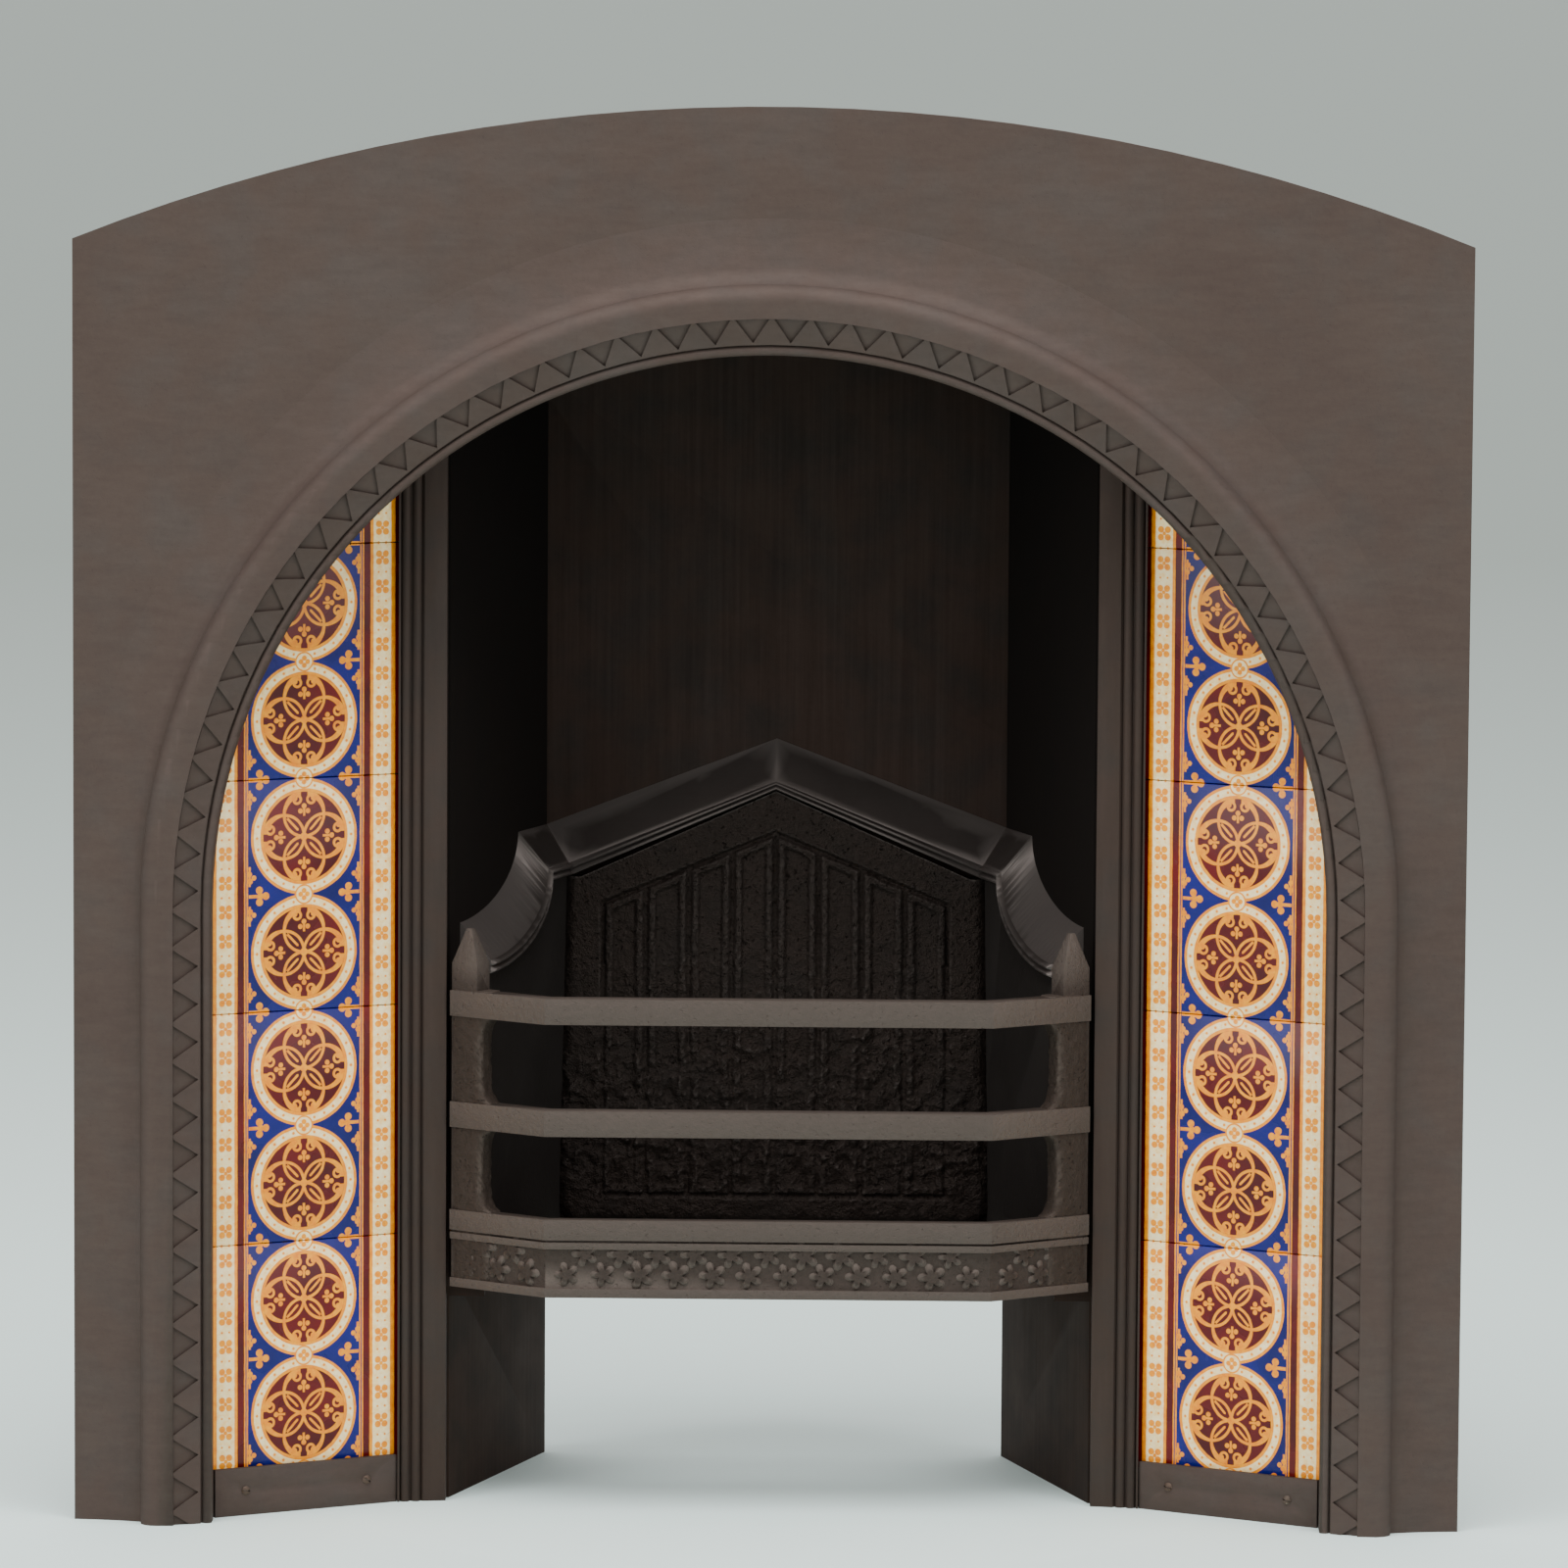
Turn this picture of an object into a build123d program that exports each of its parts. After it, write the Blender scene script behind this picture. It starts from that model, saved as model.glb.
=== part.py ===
"""Arched cast-iron register grate with two splayed panels of printed tiles.

Millimetres. +Z is up, the front looks towards -Y, and the origin is on the floor under the
middle of the whole casting. Depths are counted backwards from the flat face of the front plate.
"""
from build123d import *
import math
import os

os.makedirs("parts", exist_ok=True)

# ------------------------------------------------------------------ driving dimensions
front_y = -127.25             # y of the front plate's flat face
plate_half_width = 452.5
plate_side_height = 838.0
plate_apex_height = 925.5
plate_thickness = 6.0
rim_width = 5.0
rim_depth = 8.0

opening_radius = 362.0        # half the width of the arched opening
spring_height = 404.0         # where the legs of the arch turn into the half circle
tooth_outer = 24.0            # zigzag band, measured out from the edge of the opening
tooth_inner = 7.0
tooth_depth = 2.2
tooth_count = 48              # on the half circle
tooth_gap = 1.2

chamber_top = 821.8           # top edge of the castings under the register plate
tile_size = 152.4
tile_thickness = 10.0
tile_joint = 0.5
tile_foot = 26.3              # underside of the lowest tile
tile_rows = 5
panel_outer = (363.5, 6.8)    # plan line of the tile panels: x and depth of its two ends
panel_inner = (243.5, 74.6)
clip_thickness = 4.0          # plates that hold the feet of the tiles
clip_height = 31.5
clip_screw_spread = 44.0
clip_screw_height = 16.5

stile_outer = (245.5, 71.6)   # face of the reeded stiles in plan
stile_inner = (214.0, 78.6)
stile_body_x = 236.0
stile_back = 90.0
reed_width = 6.6
reed_relief = 3.0

cheek_front = (212.5, 90.2)   # inner face of a side cheek in plan
cheek_back = (156.4, 264.8)
cheek_thickness = 8.0
back_depth = 265.0
back_thickness = 6.0
back_foot = 150.0

bearer_top = 150.0            # ledge that carries the firebox cheeks and the bottom grate
bearer_thickness = 8.0
bearer_reach = 34.0
lining_thickness = 20.0       # firebox cheeks stand this far in from the side cheeks
lining_front = 165.0          # their length along the cheek

gable_apex = 492.8            # upper line of the cornice on the back panel
gable_eaves = 433.0
cornice_reach = 22.0
cornice_drop_apex = 27.0
cornice_drop_eaves = 24.0
cornice_height = 33.0
nose_reach = 3.5
sweep_start = 56.0            # where the side mouldings leave the level, along the cheek
sweep_drop = 50.0

bar_front = 30.0              # depth of the front bars' flat face
bar_corner_x = 147.0
bar_end = (211.5, 75.1)
bar_thickness = 14.0
fret_foot = 144.5
fret_top = 196.0
middle_bar = (251.0, 268.0)
top_bar = (325.0, 342.0)
post_width = 22.0
finial_foot = 360.0
finial_top = 383.0

grate_foot = 150.4
grate_thickness = 12.0
grate_slot_pitch = 22.0
grate_slot_width = 10.0
grate_slots = 11

fireback_foot = 163.0
fireback_slope = (225.0, 241.0)   # depth of its face at the foot and at the top
panel_pitch = 29.2
panel_count = 8

flue_half_width = 150.0
flue_front = 120.0
flue_back = 236.0
register_thickness = 6.0
flue_rim = 12.0
pin_radius = 3.0
pin_clearance = 0.06

hands = {"left": -1, "right": 1}


# ------------------------------------------------------------------ helpers
def y_at(depth):
    """y of a plane that lies this far behind the flat face of the front plate."""
    return front_y + depth


def upright(depth):
    """Upright plane at a depth, x to the right and z up, with its normal to the front."""
    return Plane.XZ.offset(-y_at(depth))


def plan(points, side=1):
    """Plan outline as x, depth pairs of the right-hand side, moved to one side."""
    return [(side * x, y_at(depth)) for x, depth in points]


def along(start, end, run, offset=0.0):
    """Point a run along a plan line, and an offset to the left of its direction."""
    length = math.dist(start, end)
    ux, uy = (end[0] - start[0]) / length, (end[1] - start[1]) / length
    return (start[0] + run * ux - offset * uy, start[1] + run * uy + offset * ux)


panel_length = math.dist(panel_outer, panel_inner)


def tile_point(across, behind):
    """Plan point on a tile panel: across from its middle line, and behind the tiles' faces."""
    return along(panel_outer, panel_inner, panel_length / 2 - across, -(behind + clip_thickness))


def cheek_point(run, inward):
    """Plan point by a side cheek: run forwards from its back end, and in from its face."""
    return along(cheek_back, cheek_front, run, -inward)


def mitre_run(inward):
    """Run along the cheek at which a moulding of this reach meets the one on the back panel."""
    bearing = math.atan2(cheek_front[0] - cheek_back[0], cheek_back[1] - cheek_front[1])
    return inward * math.tan(math.pi / 4 - bearing / 2)


def slab(outline, foot, top, mode=Mode.ADD):
    """Add an upright slab with this plan outline to the part being built."""
    with BuildSketch(Plane.XY.offset(foot)) as base:
        with BuildLine():
            Polyline(*outline, close=True)
        make_face()
    extrude(base.sketch, amount=top - foot, mode=mode)


# ------------------------------------------------------------------ front plate
def arched_face(half, side, apex, foot):
    """Face with straight sides and an arched top, at the origin of the upright plane."""
    with BuildSketch() as arched:
        with BuildLine():
            Polyline((-half, side), (-half, foot), (half, foot), (half, side))
            ThreePointArc((half, side), (0, apex), (-half, side))
        make_face()
    return arched.sketch


def plate_face(inset, foot):
    """Outline of the front plate, drawn in by an inset."""
    return arched_face(plate_half_width - inset, plate_side_height - inset, plate_apex_height - inset, foot)


def arch_face(grow, foot):
    """Outline of the arched opening, grown outwards."""
    radius = opening_radius + grow
    return arched_face(radius, spring_height, spring_height + radius, foot)


def leg_point(out, forward):
    """Plan point of the left leg's moulding: out from the opening, and forward of the plate."""
    return (-(opening_radius + out), front_y - forward)


def moulding_section(height):
    """Section of the arch moulding with its hollow back, at a height on the left leg."""
    at = leg_point
    with BuildSketch(Plane.XY.offset(height)) as section:
        with BuildLine():
            ThreePointArc(at(0, 6.5), at(3.2, 11.0), at(6.4, 9.0))
            Polyline(at(6.4, 9.0), at(tooth_inner, 9.6), at(tooth_outer, 17.7), at(24.0, 21.4),
                     at(34.0, 22.0))
            ThreePointArc(at(34.0, 22.0), at(42.0, 19.8), at(46.0, 13.0))
            Line(at(46.0, 13.0), at(46.0, 8.0))
            ThreePointArc(at(46.0, 8.0), at(66.0, 2.8), at(88.0, 0.0))
            Polyline(at(88.0, 0.0), at(88.0, -plate_thickness), at(44.0, -plate_thickness), at(43.0, 8.0),
                     at(37.0, 15.5), at(25.0, 13.6), at(8.0, 5.6), at(4.5, 3.0), at(4.5, -4.8),
                     at(0, -4.8), at(0, 6.5))
        make_face()
    return section.sketch


band_heights = (10.0, 18.1)   # how far forward the zigzag band stands at its two edges
band_bed = 1.8
band_gap = 0.05
inner_band = opening_radius + tooth_inner
outer_band = opening_radius + tooth_outer - band_gap


def band_section(height, rise):
    """Section of the zigzag band on the left leg, raised above its floor."""
    at = leg_point
    near, far = band_heights
    with BuildSketch(Plane.XY.offset(height)) as section:
        with BuildLine():
            Polyline(at(tooth_inner, near - band_bed), at(tooth_inner, near + rise),
                     at(tooth_outer - band_gap, far + rise), at(tooth_outer - band_gap, far - band_bed),
                     close=True)
        make_face()
    return section.sketch


def facet_face(radius, forward):
    """Many-sided outline of the band's circle, one side to each tooth, at a distance forward."""
    with BuildSketch(upright(-forward)) as face:
        with Locations((0, spring_height)):
            RegularPolygon(radius, 2 * tooth_count)
    return face.sketch


def band_arch(rise):
    """Add the band over the half circle, one flat facet to each tooth."""
    for lift, mode in ((-band_bed, Mode.ADD), (rise, Mode.SUBTRACT)):
        near, far = band_heights[0] + lift, band_heights[1] + lift
        loft([facet_face(inner_band, near), facet_face(outer_band, far)], ruled=True, mode=mode)
        extrude(facet_face(outer_band, far), amount=30.0 - far, mode=mode)
    extrude(facet_face(inner_band, 0), amount=40, mode=Mode.SUBTRACT)
    with BuildSketch(upright(0)) as below:
        with Locations((0, spring_height - 500)):
            Rectangle(1000, 1000)
    extrude(below.sketch, amount=40, mode=Mode.SUBTRACT)


arch_axis = Axis((0, front_y, spring_height), (0, 1, 0))

with BuildPart() as band_floor:
    band_arch(0)
    for side in (-1, 1):
        leg = band_section(0, 0)
        leg = leg if side < 0 else mirror(leg, about=Plane.YZ, mode=Mode.PRIVATE)
        extrude(leg, amount=spring_height)

with BuildPart() as teeth:
    band_arch(tooth_depth)
    for side in (-1, 1):
        leg = band_section(0, tooth_depth)
        leg = leg if side < 0 else mirror(leg, about=Plane.YZ, mode=Mode.PRIVATE)
        extrude(leg, amount=spring_height)
    tooth_angle = math.pi / tooth_count
    leg_pitch = tooth_angle * (opening_radius + (tooth_inner + tooth_outer) / 2)
    leg_teeth = int(spring_height / leg_pitch) + 1
    base_radius = opening_radius + tooth_outer + 1
    tip_radius = opening_radius + tooth_inner + tooth_gap
    with BuildSketch(upright(-30)):
        with Locations((0, spring_height)):
            with PolarLocations(0, tooth_count, start_angle=math.degrees(tooth_angle) / 2,
                                angular_range=180,
                                endpoint=False):
                Polygon((base_radius, base_radius * tooth_angle / 2 - tooth_gap / 2), (tip_radius, 0),
                        (base_radius, -base_radius * tooth_angle / 2 + tooth_gap / 2), align=None)
        for side in (-1, 1):
            for step in range(leg_teeth):
                middle = spring_height - (step + 0.5) * leg_pitch
                half_base = (leg_pitch - tooth_gap) / 2
                Polygon((side * base_radius, middle - half_base), (side * tip_radius, middle),
                        (side * base_radius, middle + half_base), align=None)
    extrude(amount=-60, mode=Mode.SUBTRACT)

bolt_radius = 3.0
bolt_clearance = 0.3
thread_gap = 0.02
frame_bolt_x = 418.0
frame_bolt_heights = (90.0, 350.0)
lug_bolt = (432.0, 250.0)

stile_bolt_x = 227.0
stile_bolt_heights = (120.0, 430.0, 740.0)
screw_radius = 2.0
screw_length = 13.0
screw_head_radius = 3.1
screw_head_height = 1.8

with BuildPart() as front_plate:
    with BuildSketch(upright(0)):
        add(plate_face(0, 0))
        add(arch_face(44.0, -1), mode=Mode.SUBTRACT)
    extrude(amount=-plate_thickness)
    with BuildSketch(upright(plate_thickness)):
        add(plate_face(0, 0))
        add(plate_face(rim_width, -1), mode=Mode.SUBTRACT)
    extrude(amount=-rim_depth)
    extrude(moulding_section(0), amount=spring_height)
    mirror(about=Plane.YZ)
    revolve(moulding_section(spring_height), axis=arch_axis, revolution_arc=180)
    add(band_floor.part)
    add(teeth.part)
    tapped = [(side * frame_bolt_x, z) for side in (-1, 1) for z in frame_bolt_heights]
    tapped += [(side * lug_bolt[0], lug_bolt[1]) for side in (-1, 1)]
    with BuildSketch(upright(plate_thickness)):
        with Locations(*tapped):
            Circle(bolt_radius + thread_gap)
    extrude(amount=7.0, mode=Mode.SUBTRACT)

front_plate.part.label = "front_plate"
export_step(front_plate.part, "parts/front_plate.step")


# ------------------------------------------------------------------ tile panels
frame_lip = (442.0, plate_thickness + 0.2)
frame_tail = (220.0, 96.4)
frame_thickness = 4.0
toe_half = 70.0


def frame_edge(behind, depth):
    """Where the tile frame's backing, this far behind the tiles, reaches a depth."""
    low, high = tile_point(0, behind), tile_point(-1, behind)
    across = -(depth - low[1]) / (high[1] - low[1])
    return tile_point(across, behind)


def screw_plane(side, across):
    """Plane on the face of a tile clip at one of its screws, with its normal to the front."""
    x, depth = tile_point(across, -clip_thickness)
    outer, inner = plan([panel_outer, panel_inner], side)
    run = Vector(inner[0] - outer[0], inner[1] - outer[1], 0).normalized()
    return Plane(origin=(side * x, y_at(depth), clip_screw_height), x_dir=run * side,
                 z_dir=Vector(-run.Y, run.X, 0) * side)


for hand, side in hands.items():
    front_of_backing = tile_thickness + 0.5
    back_of_backing = front_of_backing + frame_thickness
    with BuildPart() as tile_frame:
        slab(plan([frame_lip, (frame_lip[0], frame_lip[1] + frame_thickness),
                   frame_edge(back_of_backing, frame_lip[1] + frame_thickness),
                   frame_edge(back_of_backing, frame_tail[1] + frame_thickness),
                   (frame_tail[0], frame_tail[1] + frame_thickness), frame_tail,
                   frame_edge(front_of_backing, frame_tail[1]),
                   frame_edge(front_of_backing, frame_lip[1])], side), 0, chamber_top)
        slab(plan([tile_point(toe_half, 0.2), tile_point(toe_half, back_of_backing - 1),
                   tile_point(-toe_half, back_of_backing - 1), tile_point(-toe_half, 0.2)], side), 0,
             tile_foot - 0.2)
        with BuildSketch(upright(0)):
            with Locations(*[(side * frame_bolt_x, z) for z in frame_bolt_heights],
                           (side * lug_bolt[0], lug_bolt[1])):
                Circle(bolt_radius + bolt_clearance)
        extrude(amount=-30, mode=Mode.SUBTRACT)
        with BuildSketch(upright(stile_back)):
            with Locations(*[(side * stile_bolt_x, z) for z in stile_bolt_heights]):
                Circle(bolt_radius + bolt_clearance)
        extrude(amount=-20, mode=Mode.SUBTRACT)
        for across in (-clip_screw_spread, clip_screw_spread):
            with BuildSketch(screw_plane(side, across)):
                Circle(screw_radius + thread_gap)
            extrude(amount=-screw_length, mode=Mode.SUBTRACT)
    tile_frame.part.label = f"{hand}_tile_frame"
    export_step(tile_frame.part, f"parts/{hand}_tile_frame.step")

    for row in range(tile_rows):
        foot = tile_foot + row * (tile_size + tile_joint)
        half = tile_size / 2
        with BuildPart() as tile:
            slab(plan([tile_point(half, 0.2), tile_point(half, tile_thickness),
                       tile_point(-half, tile_thickness), tile_point(-half, 0.2)], side), foot,
                       foot + tile_size)
            chamfer(tile.edges().filter_by(Axis.Z), 0.8)
        tile.part.label = f"{hand}_tile_{row + 1}"
        export_step(tile.part, f"parts/{hand}_tile_{row + 1}.step")

clip_half = 66.0
slot_width = 0.9
slot_depth = 0.9

for hand, side in hands.items():
    with BuildPart() as tile_clip:
        slab(plan([tile_point(clip_half, -clip_thickness), tile_point(clip_half, 0),
                   tile_point(-clip_half, 0), tile_point(-clip_half, -clip_thickness)], side), 0,
                   clip_height)
        for across in (-clip_screw_spread, clip_screw_spread):
            with BuildSketch(screw_plane(side, across)):
                Circle(screw_radius + bolt_clearance)
            extrude(amount=-clip_thickness - 1, mode=Mode.SUBTRACT)
    tile_clip.part.label = f"{hand}_tile_clip"
    export_step(tile_clip.part, f"parts/{hand}_tile_clip.step")

with BuildPart() as clip_screws:
    for side in hands.values():
        for across in (-clip_screw_spread, clip_screw_spread):
            with BuildSketch(screw_plane(side, across)):
                Circle(screw_head_radius)
            extrude(amount=screw_head_height)
            with BuildSketch(screw_plane(side, across).offset(screw_head_height)):
                Rectangle(2 * screw_head_radius + 1, slot_width)
            extrude(amount=-slot_depth, mode=Mode.SUBTRACT)
            with BuildSketch(screw_plane(side, across)):
                Circle(screw_radius)
            extrude(amount=-(screw_length - 2))
clip_screws.part.label = "clip_screws"
export_step(clip_screws.part, "parts/clip_screws.step")


# ------------------------------------------------------------------ stiles and side cheeks
cheek_length = math.dist(cheek_back, cheek_front)
stile_lip = 5.0
reed_runs = (2.2, 9.4)
flat_run = 17.4
flange_thickness = 6.0
fit_gap = 0.2


def stile_point(run, sunk):
    """Plan point on a stile: a run in from its outer edge, sunk below its face."""
    return along(stile_outer, stile_inner, run, -sunk)


def cheek_at(inward, depth):
    """Plan point at a depth on a line this far in from a side cheek's face."""
    back, front = cheek_point(0, inward), cheek_point(1, inward)
    return cheek_point((depth - back[1]) / (front[1] - back[1]), inward)


panel_bolt_x = 176.0
panel_bolt_heights = (210.0, 480.0, 750.0)
top_flange = 28.0
top_flange_runs = (10.0, cheek_length - 15.0)
register_bolt_spots = [cheek_point(run, -19.0) for run in (45.0, cheek_length - 45.0)]
lug_top = 143.5
lug_foot = 135.5
lug_reach = (189.0, 102.0)

for hand, side in hands.items():
    with BuildPart() as stile:
        with BuildSketch() as section:
            with BuildLine():
                at = lambda run, sunk: plan([stile_point(run, sunk)], side)[0]
                Line(at(0, 0), at(1.4, 0))
                Line(at(1.4, 0), at(reed_runs[0], reed_relief))
                for start in reed_runs:
                    ThreePointArc(at(start, reed_relief), at(start + reed_width / 2, 0),
                                  at(start + reed_width, reed_relief))
                Line(at(reed_runs[0] + reed_width, reed_relief), at(reed_runs[1], reed_relief))
                Line(at(reed_runs[1] + reed_width, reed_relief), at(flat_run, 0.6))
                Polyline(at(flat_run, 0.6), *plan([stile_inner, (stile_inner[0], stile_back),
                                                   (stile_body_x, stile_back),
                                                   (stile_body_x, stile_outer[1] + stile_lip),
                                                   (stile_outer[0], stile_outer[1] + stile_lip),
                                                   stile_outer], side))
            make_face()
        extrude(amount=chamber_top)
        with BuildSketch(upright(stile_back)):
            with Locations(*[(side * stile_bolt_x, z) for z in stile_bolt_heights]):
                Circle(bolt_radius + thread_gap)
        extrude(amount=9.0, mode=Mode.SUBTRACT)
    stile.part.label = f"{hand}_stile"
    export_step(stile.part, f"parts/{hand}_stile.step")

    with BuildPart() as cheek:
        flange_back = cheek_front[1] + flange_thickness
        rear_front = cheek_back[1] - flange_thickness
        slab(plan([cheek_front, (230.0, cheek_front[1]), (230.0, flange_back),
                   cheek_at(-cheek_thickness, flange_back), cheek_at(-cheek_thickness, rear_front),
                   (186.0, rear_front), (186.0, cheek_back[1]), cheek_back], side), 0, chamber_top)
        slab(plan([cheek_point(top_flange_runs[0], -1), cheek_point(top_flange_runs[1], -1),
                   cheek_point(top_flange_runs[1], -top_flange),
                   cheek_point(top_flange_runs[0], -top_flange)], side),
             chamber_top - flange_thickness, chamber_top)
        slab(plan([cheek_point(6, -1), cheek_point(lining_front, -1), cheek_point(lining_front,
                                                                                  bearer_reach),
                   cheek_point(6, bearer_reach)], side), bearer_top - bearer_thickness, bearer_top)
        slab(plan([(lug_reach[0], cheek_front[1] + 0.4), (214.0, cheek_front[1] + 0.4),
                   (212.0, lug_reach[1]), (lug_reach[0], lug_reach[1])], side), lug_foot, lug_top)
        with BuildSketch(upright(cheek_front[1])):
            with Locations(*[(side * stile_bolt_x, z) for z in stile_bolt_heights]):
                Circle(bolt_radius + bolt_clearance)
        extrude(amount=-flange_thickness, mode=Mode.SUBTRACT)
        with BuildSketch(upright(rear_front)):
            with Locations(*[(side * panel_bolt_x, z) for z in panel_bolt_heights]):
                Circle(bolt_radius + bolt_clearance)
        extrude(amount=-flange_thickness, mode=Mode.SUBTRACT)
        with BuildSketch(Plane.XY.offset(chamber_top)):
            with Locations(*plan(register_bolt_spots, side)):
                Circle(bolt_radius + thread_gap)
        extrude(amount=-flange_thickness, mode=Mode.SUBTRACT)
    cheek.part.label = f"{hand}_cheek"
    export_step(cheek.part, f"parts/{hand}_cheek.step")


# ------------------------------------------------------------------ back panel and fireback
ledge_half = 118.0
ledge_front = 230.0

with BuildPart() as back_panel:
    with BuildSketch(upright(back_depth)):
        with Locations((0, (back_foot + chamber_top) / 2)):
            Rectangle(372.0, chamber_top - back_foot)
    extrude(amount=-back_thickness)
    slab(plan([(-ledge_half, ledge_front), (ledge_half, ledge_front), (ledge_half, back_depth + 1),
               (-ledge_half, back_depth + 1)]), fireback_foot - 8.0, fireback_foot - fit_gap)
    with BuildSketch(upright(back_depth)):
        with Locations(*[(side * panel_bolt_x, z) for side in (-1, 1) for z in panel_bolt_heights]):
            Circle(bolt_radius + bolt_clearance)
    extrude(amount=-back_thickness, mode=Mode.SUBTRACT)
back_panel.part.label = "back_panel"
export_step(back_panel.part, "parts/back_panel.step")

cornice_foot_apex = gable_apex - cornice_height
cornice_foot_eaves = gable_eaves - cornice_height
fireback_top = cornice_foot_apex - 0.6
nose_end = cheek_back[0] - mitre_run(cornice_reach + nose_reach)
fireback_fall = (cornice_foot_apex - cornice_foot_eaves) / (nose_end - 1)
panel_foot = 183.6
panel_apex = 430.5
panel_fall = 0.4145
panel_gap = 2.5
panel_frame = 5.5
field_half = panel_count * panel_pitch / 2

fireback_plane = Plane(origin=(0, y_at(fireback_slope[0]), fireback_foot), x_dir=(1, 0, 0),
                       z_dir=(0, -(fireback_top - fireback_foot), fireback_slope[1] - fireback_slope[0]))


def fluted_panel(left, right, inset):
    """Outline of one upright panel on the fireback, its top following the gable."""
    low = panel_foot - fireback_foot + inset
    tops = [panel_apex - fireback_foot - panel_fall * abs(x) - inset for x in (right, left)]
    return [(left, low), (right, low), (right, tops[0]), (left, tops[1])]


with BuildPart() as fireback:
    front_edge = cheek_at(lining_thickness + 0.6, fireback_slope[0])
    back_edge = cheek_at(lining_thickness + 0.6, back_depth - 0.5)
    slab([(-front_edge[0], y_at(front_edge[1])), (front_edge[0], y_at(front_edge[1])),
          (back_edge[0], y_at(back_edge[1])), (-back_edge[0], y_at(back_edge[1]))],
         fireback_foot, fireback_top)
    shoulder = nose_end - 1.5
    with BuildSketch(upright(fireback_slope[0] - 1)) as gable:
        with Locations((0, fireback_top)):
            Rectangle(400, 160)
        with BuildLine():
            Polyline((-160, fireback_foot), (160, fireback_foot), (160, cornice_foot_eaves - 0.6),
                     (shoulder, cornice_foot_eaves - 0.6),
                     (shoulder, fireback_top - fireback_fall * shoulder), (0, fireback_top),
                     (-shoulder, fireback_top - fireback_fall * shoulder),
                     (-shoulder, cornice_foot_eaves - 0.6), (-160, cornice_foot_eaves - 0.6), close=True)
        make_face(mode=Mode.SUBTRACT)
    extrude(gable.sketch, amount=-60, mode=Mode.SUBTRACT)
    with BuildSketch(fireback_plane) as ahead:
        Rectangle(500, 900)
    extrude(ahead.sketch, amount=60, mode=Mode.SUBTRACT)
    with BuildSketch(fireback_plane) as grooves:
        with BuildLine():
            Polyline((-field_half - 1, panel_foot - fireback_foot), (field_half + 1,
                                                                     panel_foot - fireback_foot),
                     (field_half + 1, panel_apex - fireback_foot - panel_fall * field_half),
                     (0, panel_apex - fireback_foot + 1),
                     (-field_half - 1, panel_apex - fireback_foot - panel_fall * field_half), close=True)
        make_face()
        for number in range(panel_count):
            left = -field_half + number * panel_pitch + panel_gap / 2
            with BuildLine():
                Polyline(*fluted_panel(left, left + panel_pitch - panel_gap, 0.6), close=True)
            make_face(mode=Mode.SUBTRACT)
    extrude(grooves.sketch, amount=-2.5, mode=Mode.SUBTRACT)
    with BuildSketch(fireback_plane) as wells:
        for number in range(panel_count):
            left = -field_half + number * panel_pitch + panel_gap / 2 + panel_frame
            with BuildLine():
                Polyline(*fluted_panel(left, left + panel_pitch - panel_gap - 2 * panel_frame, panel_frame),
                         close=True)
            make_face()
    extrude(wells.sketch, amount=-2.0, mode=Mode.SUBTRACT)
fireback.part.label = "fireback"
export_step(fireback.part, "parts/fireback.step")


# ------------------------------------------------------------------ cornice, side mouldings, linings
def gable_section(reach, foot, top):
    """Section of the gable cornice at a reach from the back panel, with its heights at apex and eaves."""
    with BuildSketch(upright(back_depth - fit_gap - reach)) as section:
        half = cheek_back[0] - mitre_run(reach)
        with BuildLine():
            Polyline((-half, foot[1]), (0, foot[0]), (half, foot[1]), (half, top[1]), (0, top[0]),
                     (-half, top[1]),
                     close=True)
        make_face()
    return section.sketch


def between(foot, top, share):
    """Heights a share of the way up a moulding's nose."""
    return tuple(low + (high - low) * share for low, high in zip(foot, top))


nose_beads = ((0.02, 0.5), (0.56, 0.98))    # shares of the nose's height that its two beads take
bead_draw = 0.3


with BuildPart() as gable_cornice:
    foot = (cornice_foot_apex, cornice_foot_eaves)
    nose = (gable_apex - cornice_drop_apex, gable_eaves - cornice_drop_eaves)
    loft([gable_section(0, foot, (gable_apex, gable_eaves)), gable_section(cornice_reach, foot, nose)],
         ruled=True)
    for low, high in nose_beads:
        draw = (high - low) * bead_draw
        loft([gable_section(cornice_reach, between(foot, nose, low), between(foot, nose, high)),
              gable_section(cornice_reach + nose_reach, between(foot, nose, low + draw),
                            between(foot, nose, high - draw))], ruled=True)
gable_cornice.part.label = "gable_cornice"
export_step(gable_cornice.part, "parts/gable_cornice.step")

sweep_width = lining_front + 5.0 - sweep_start
sweep_end = math.degrees(math.acos(-5.0 / sweep_width))
corner_gap = 0.2


def cheek_plane(side, inward):
    """Upright plane parallel to a side cheek, x running forwards from its back end."""
    origin, ahead = cheek_point(0, inward), cheek_point(1, inward)
    run = Vector(side * (ahead[0] - origin[0]), ahead[1] - origin[1], 0)
    return Plane(origin=(side * origin[0], y_at(origin[1]), 0), x_dir=run, z_dir=Vector(run.Y, -run.X, 0))


def swept_edge(height):
    """Edge that runs level along a cheek and then sweeps down to the front."""
    EllipticalCenterArc((lining_front + 5.0, height), sweep_width, sweep_drop, 180.0,
                        arc_size=180.0 - sweep_end)


def sweep_end_height(height):
    """Height of a swept edge at the front end of the moulding."""
    return height - sweep_drop * math.sin(math.radians(sweep_end))


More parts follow.
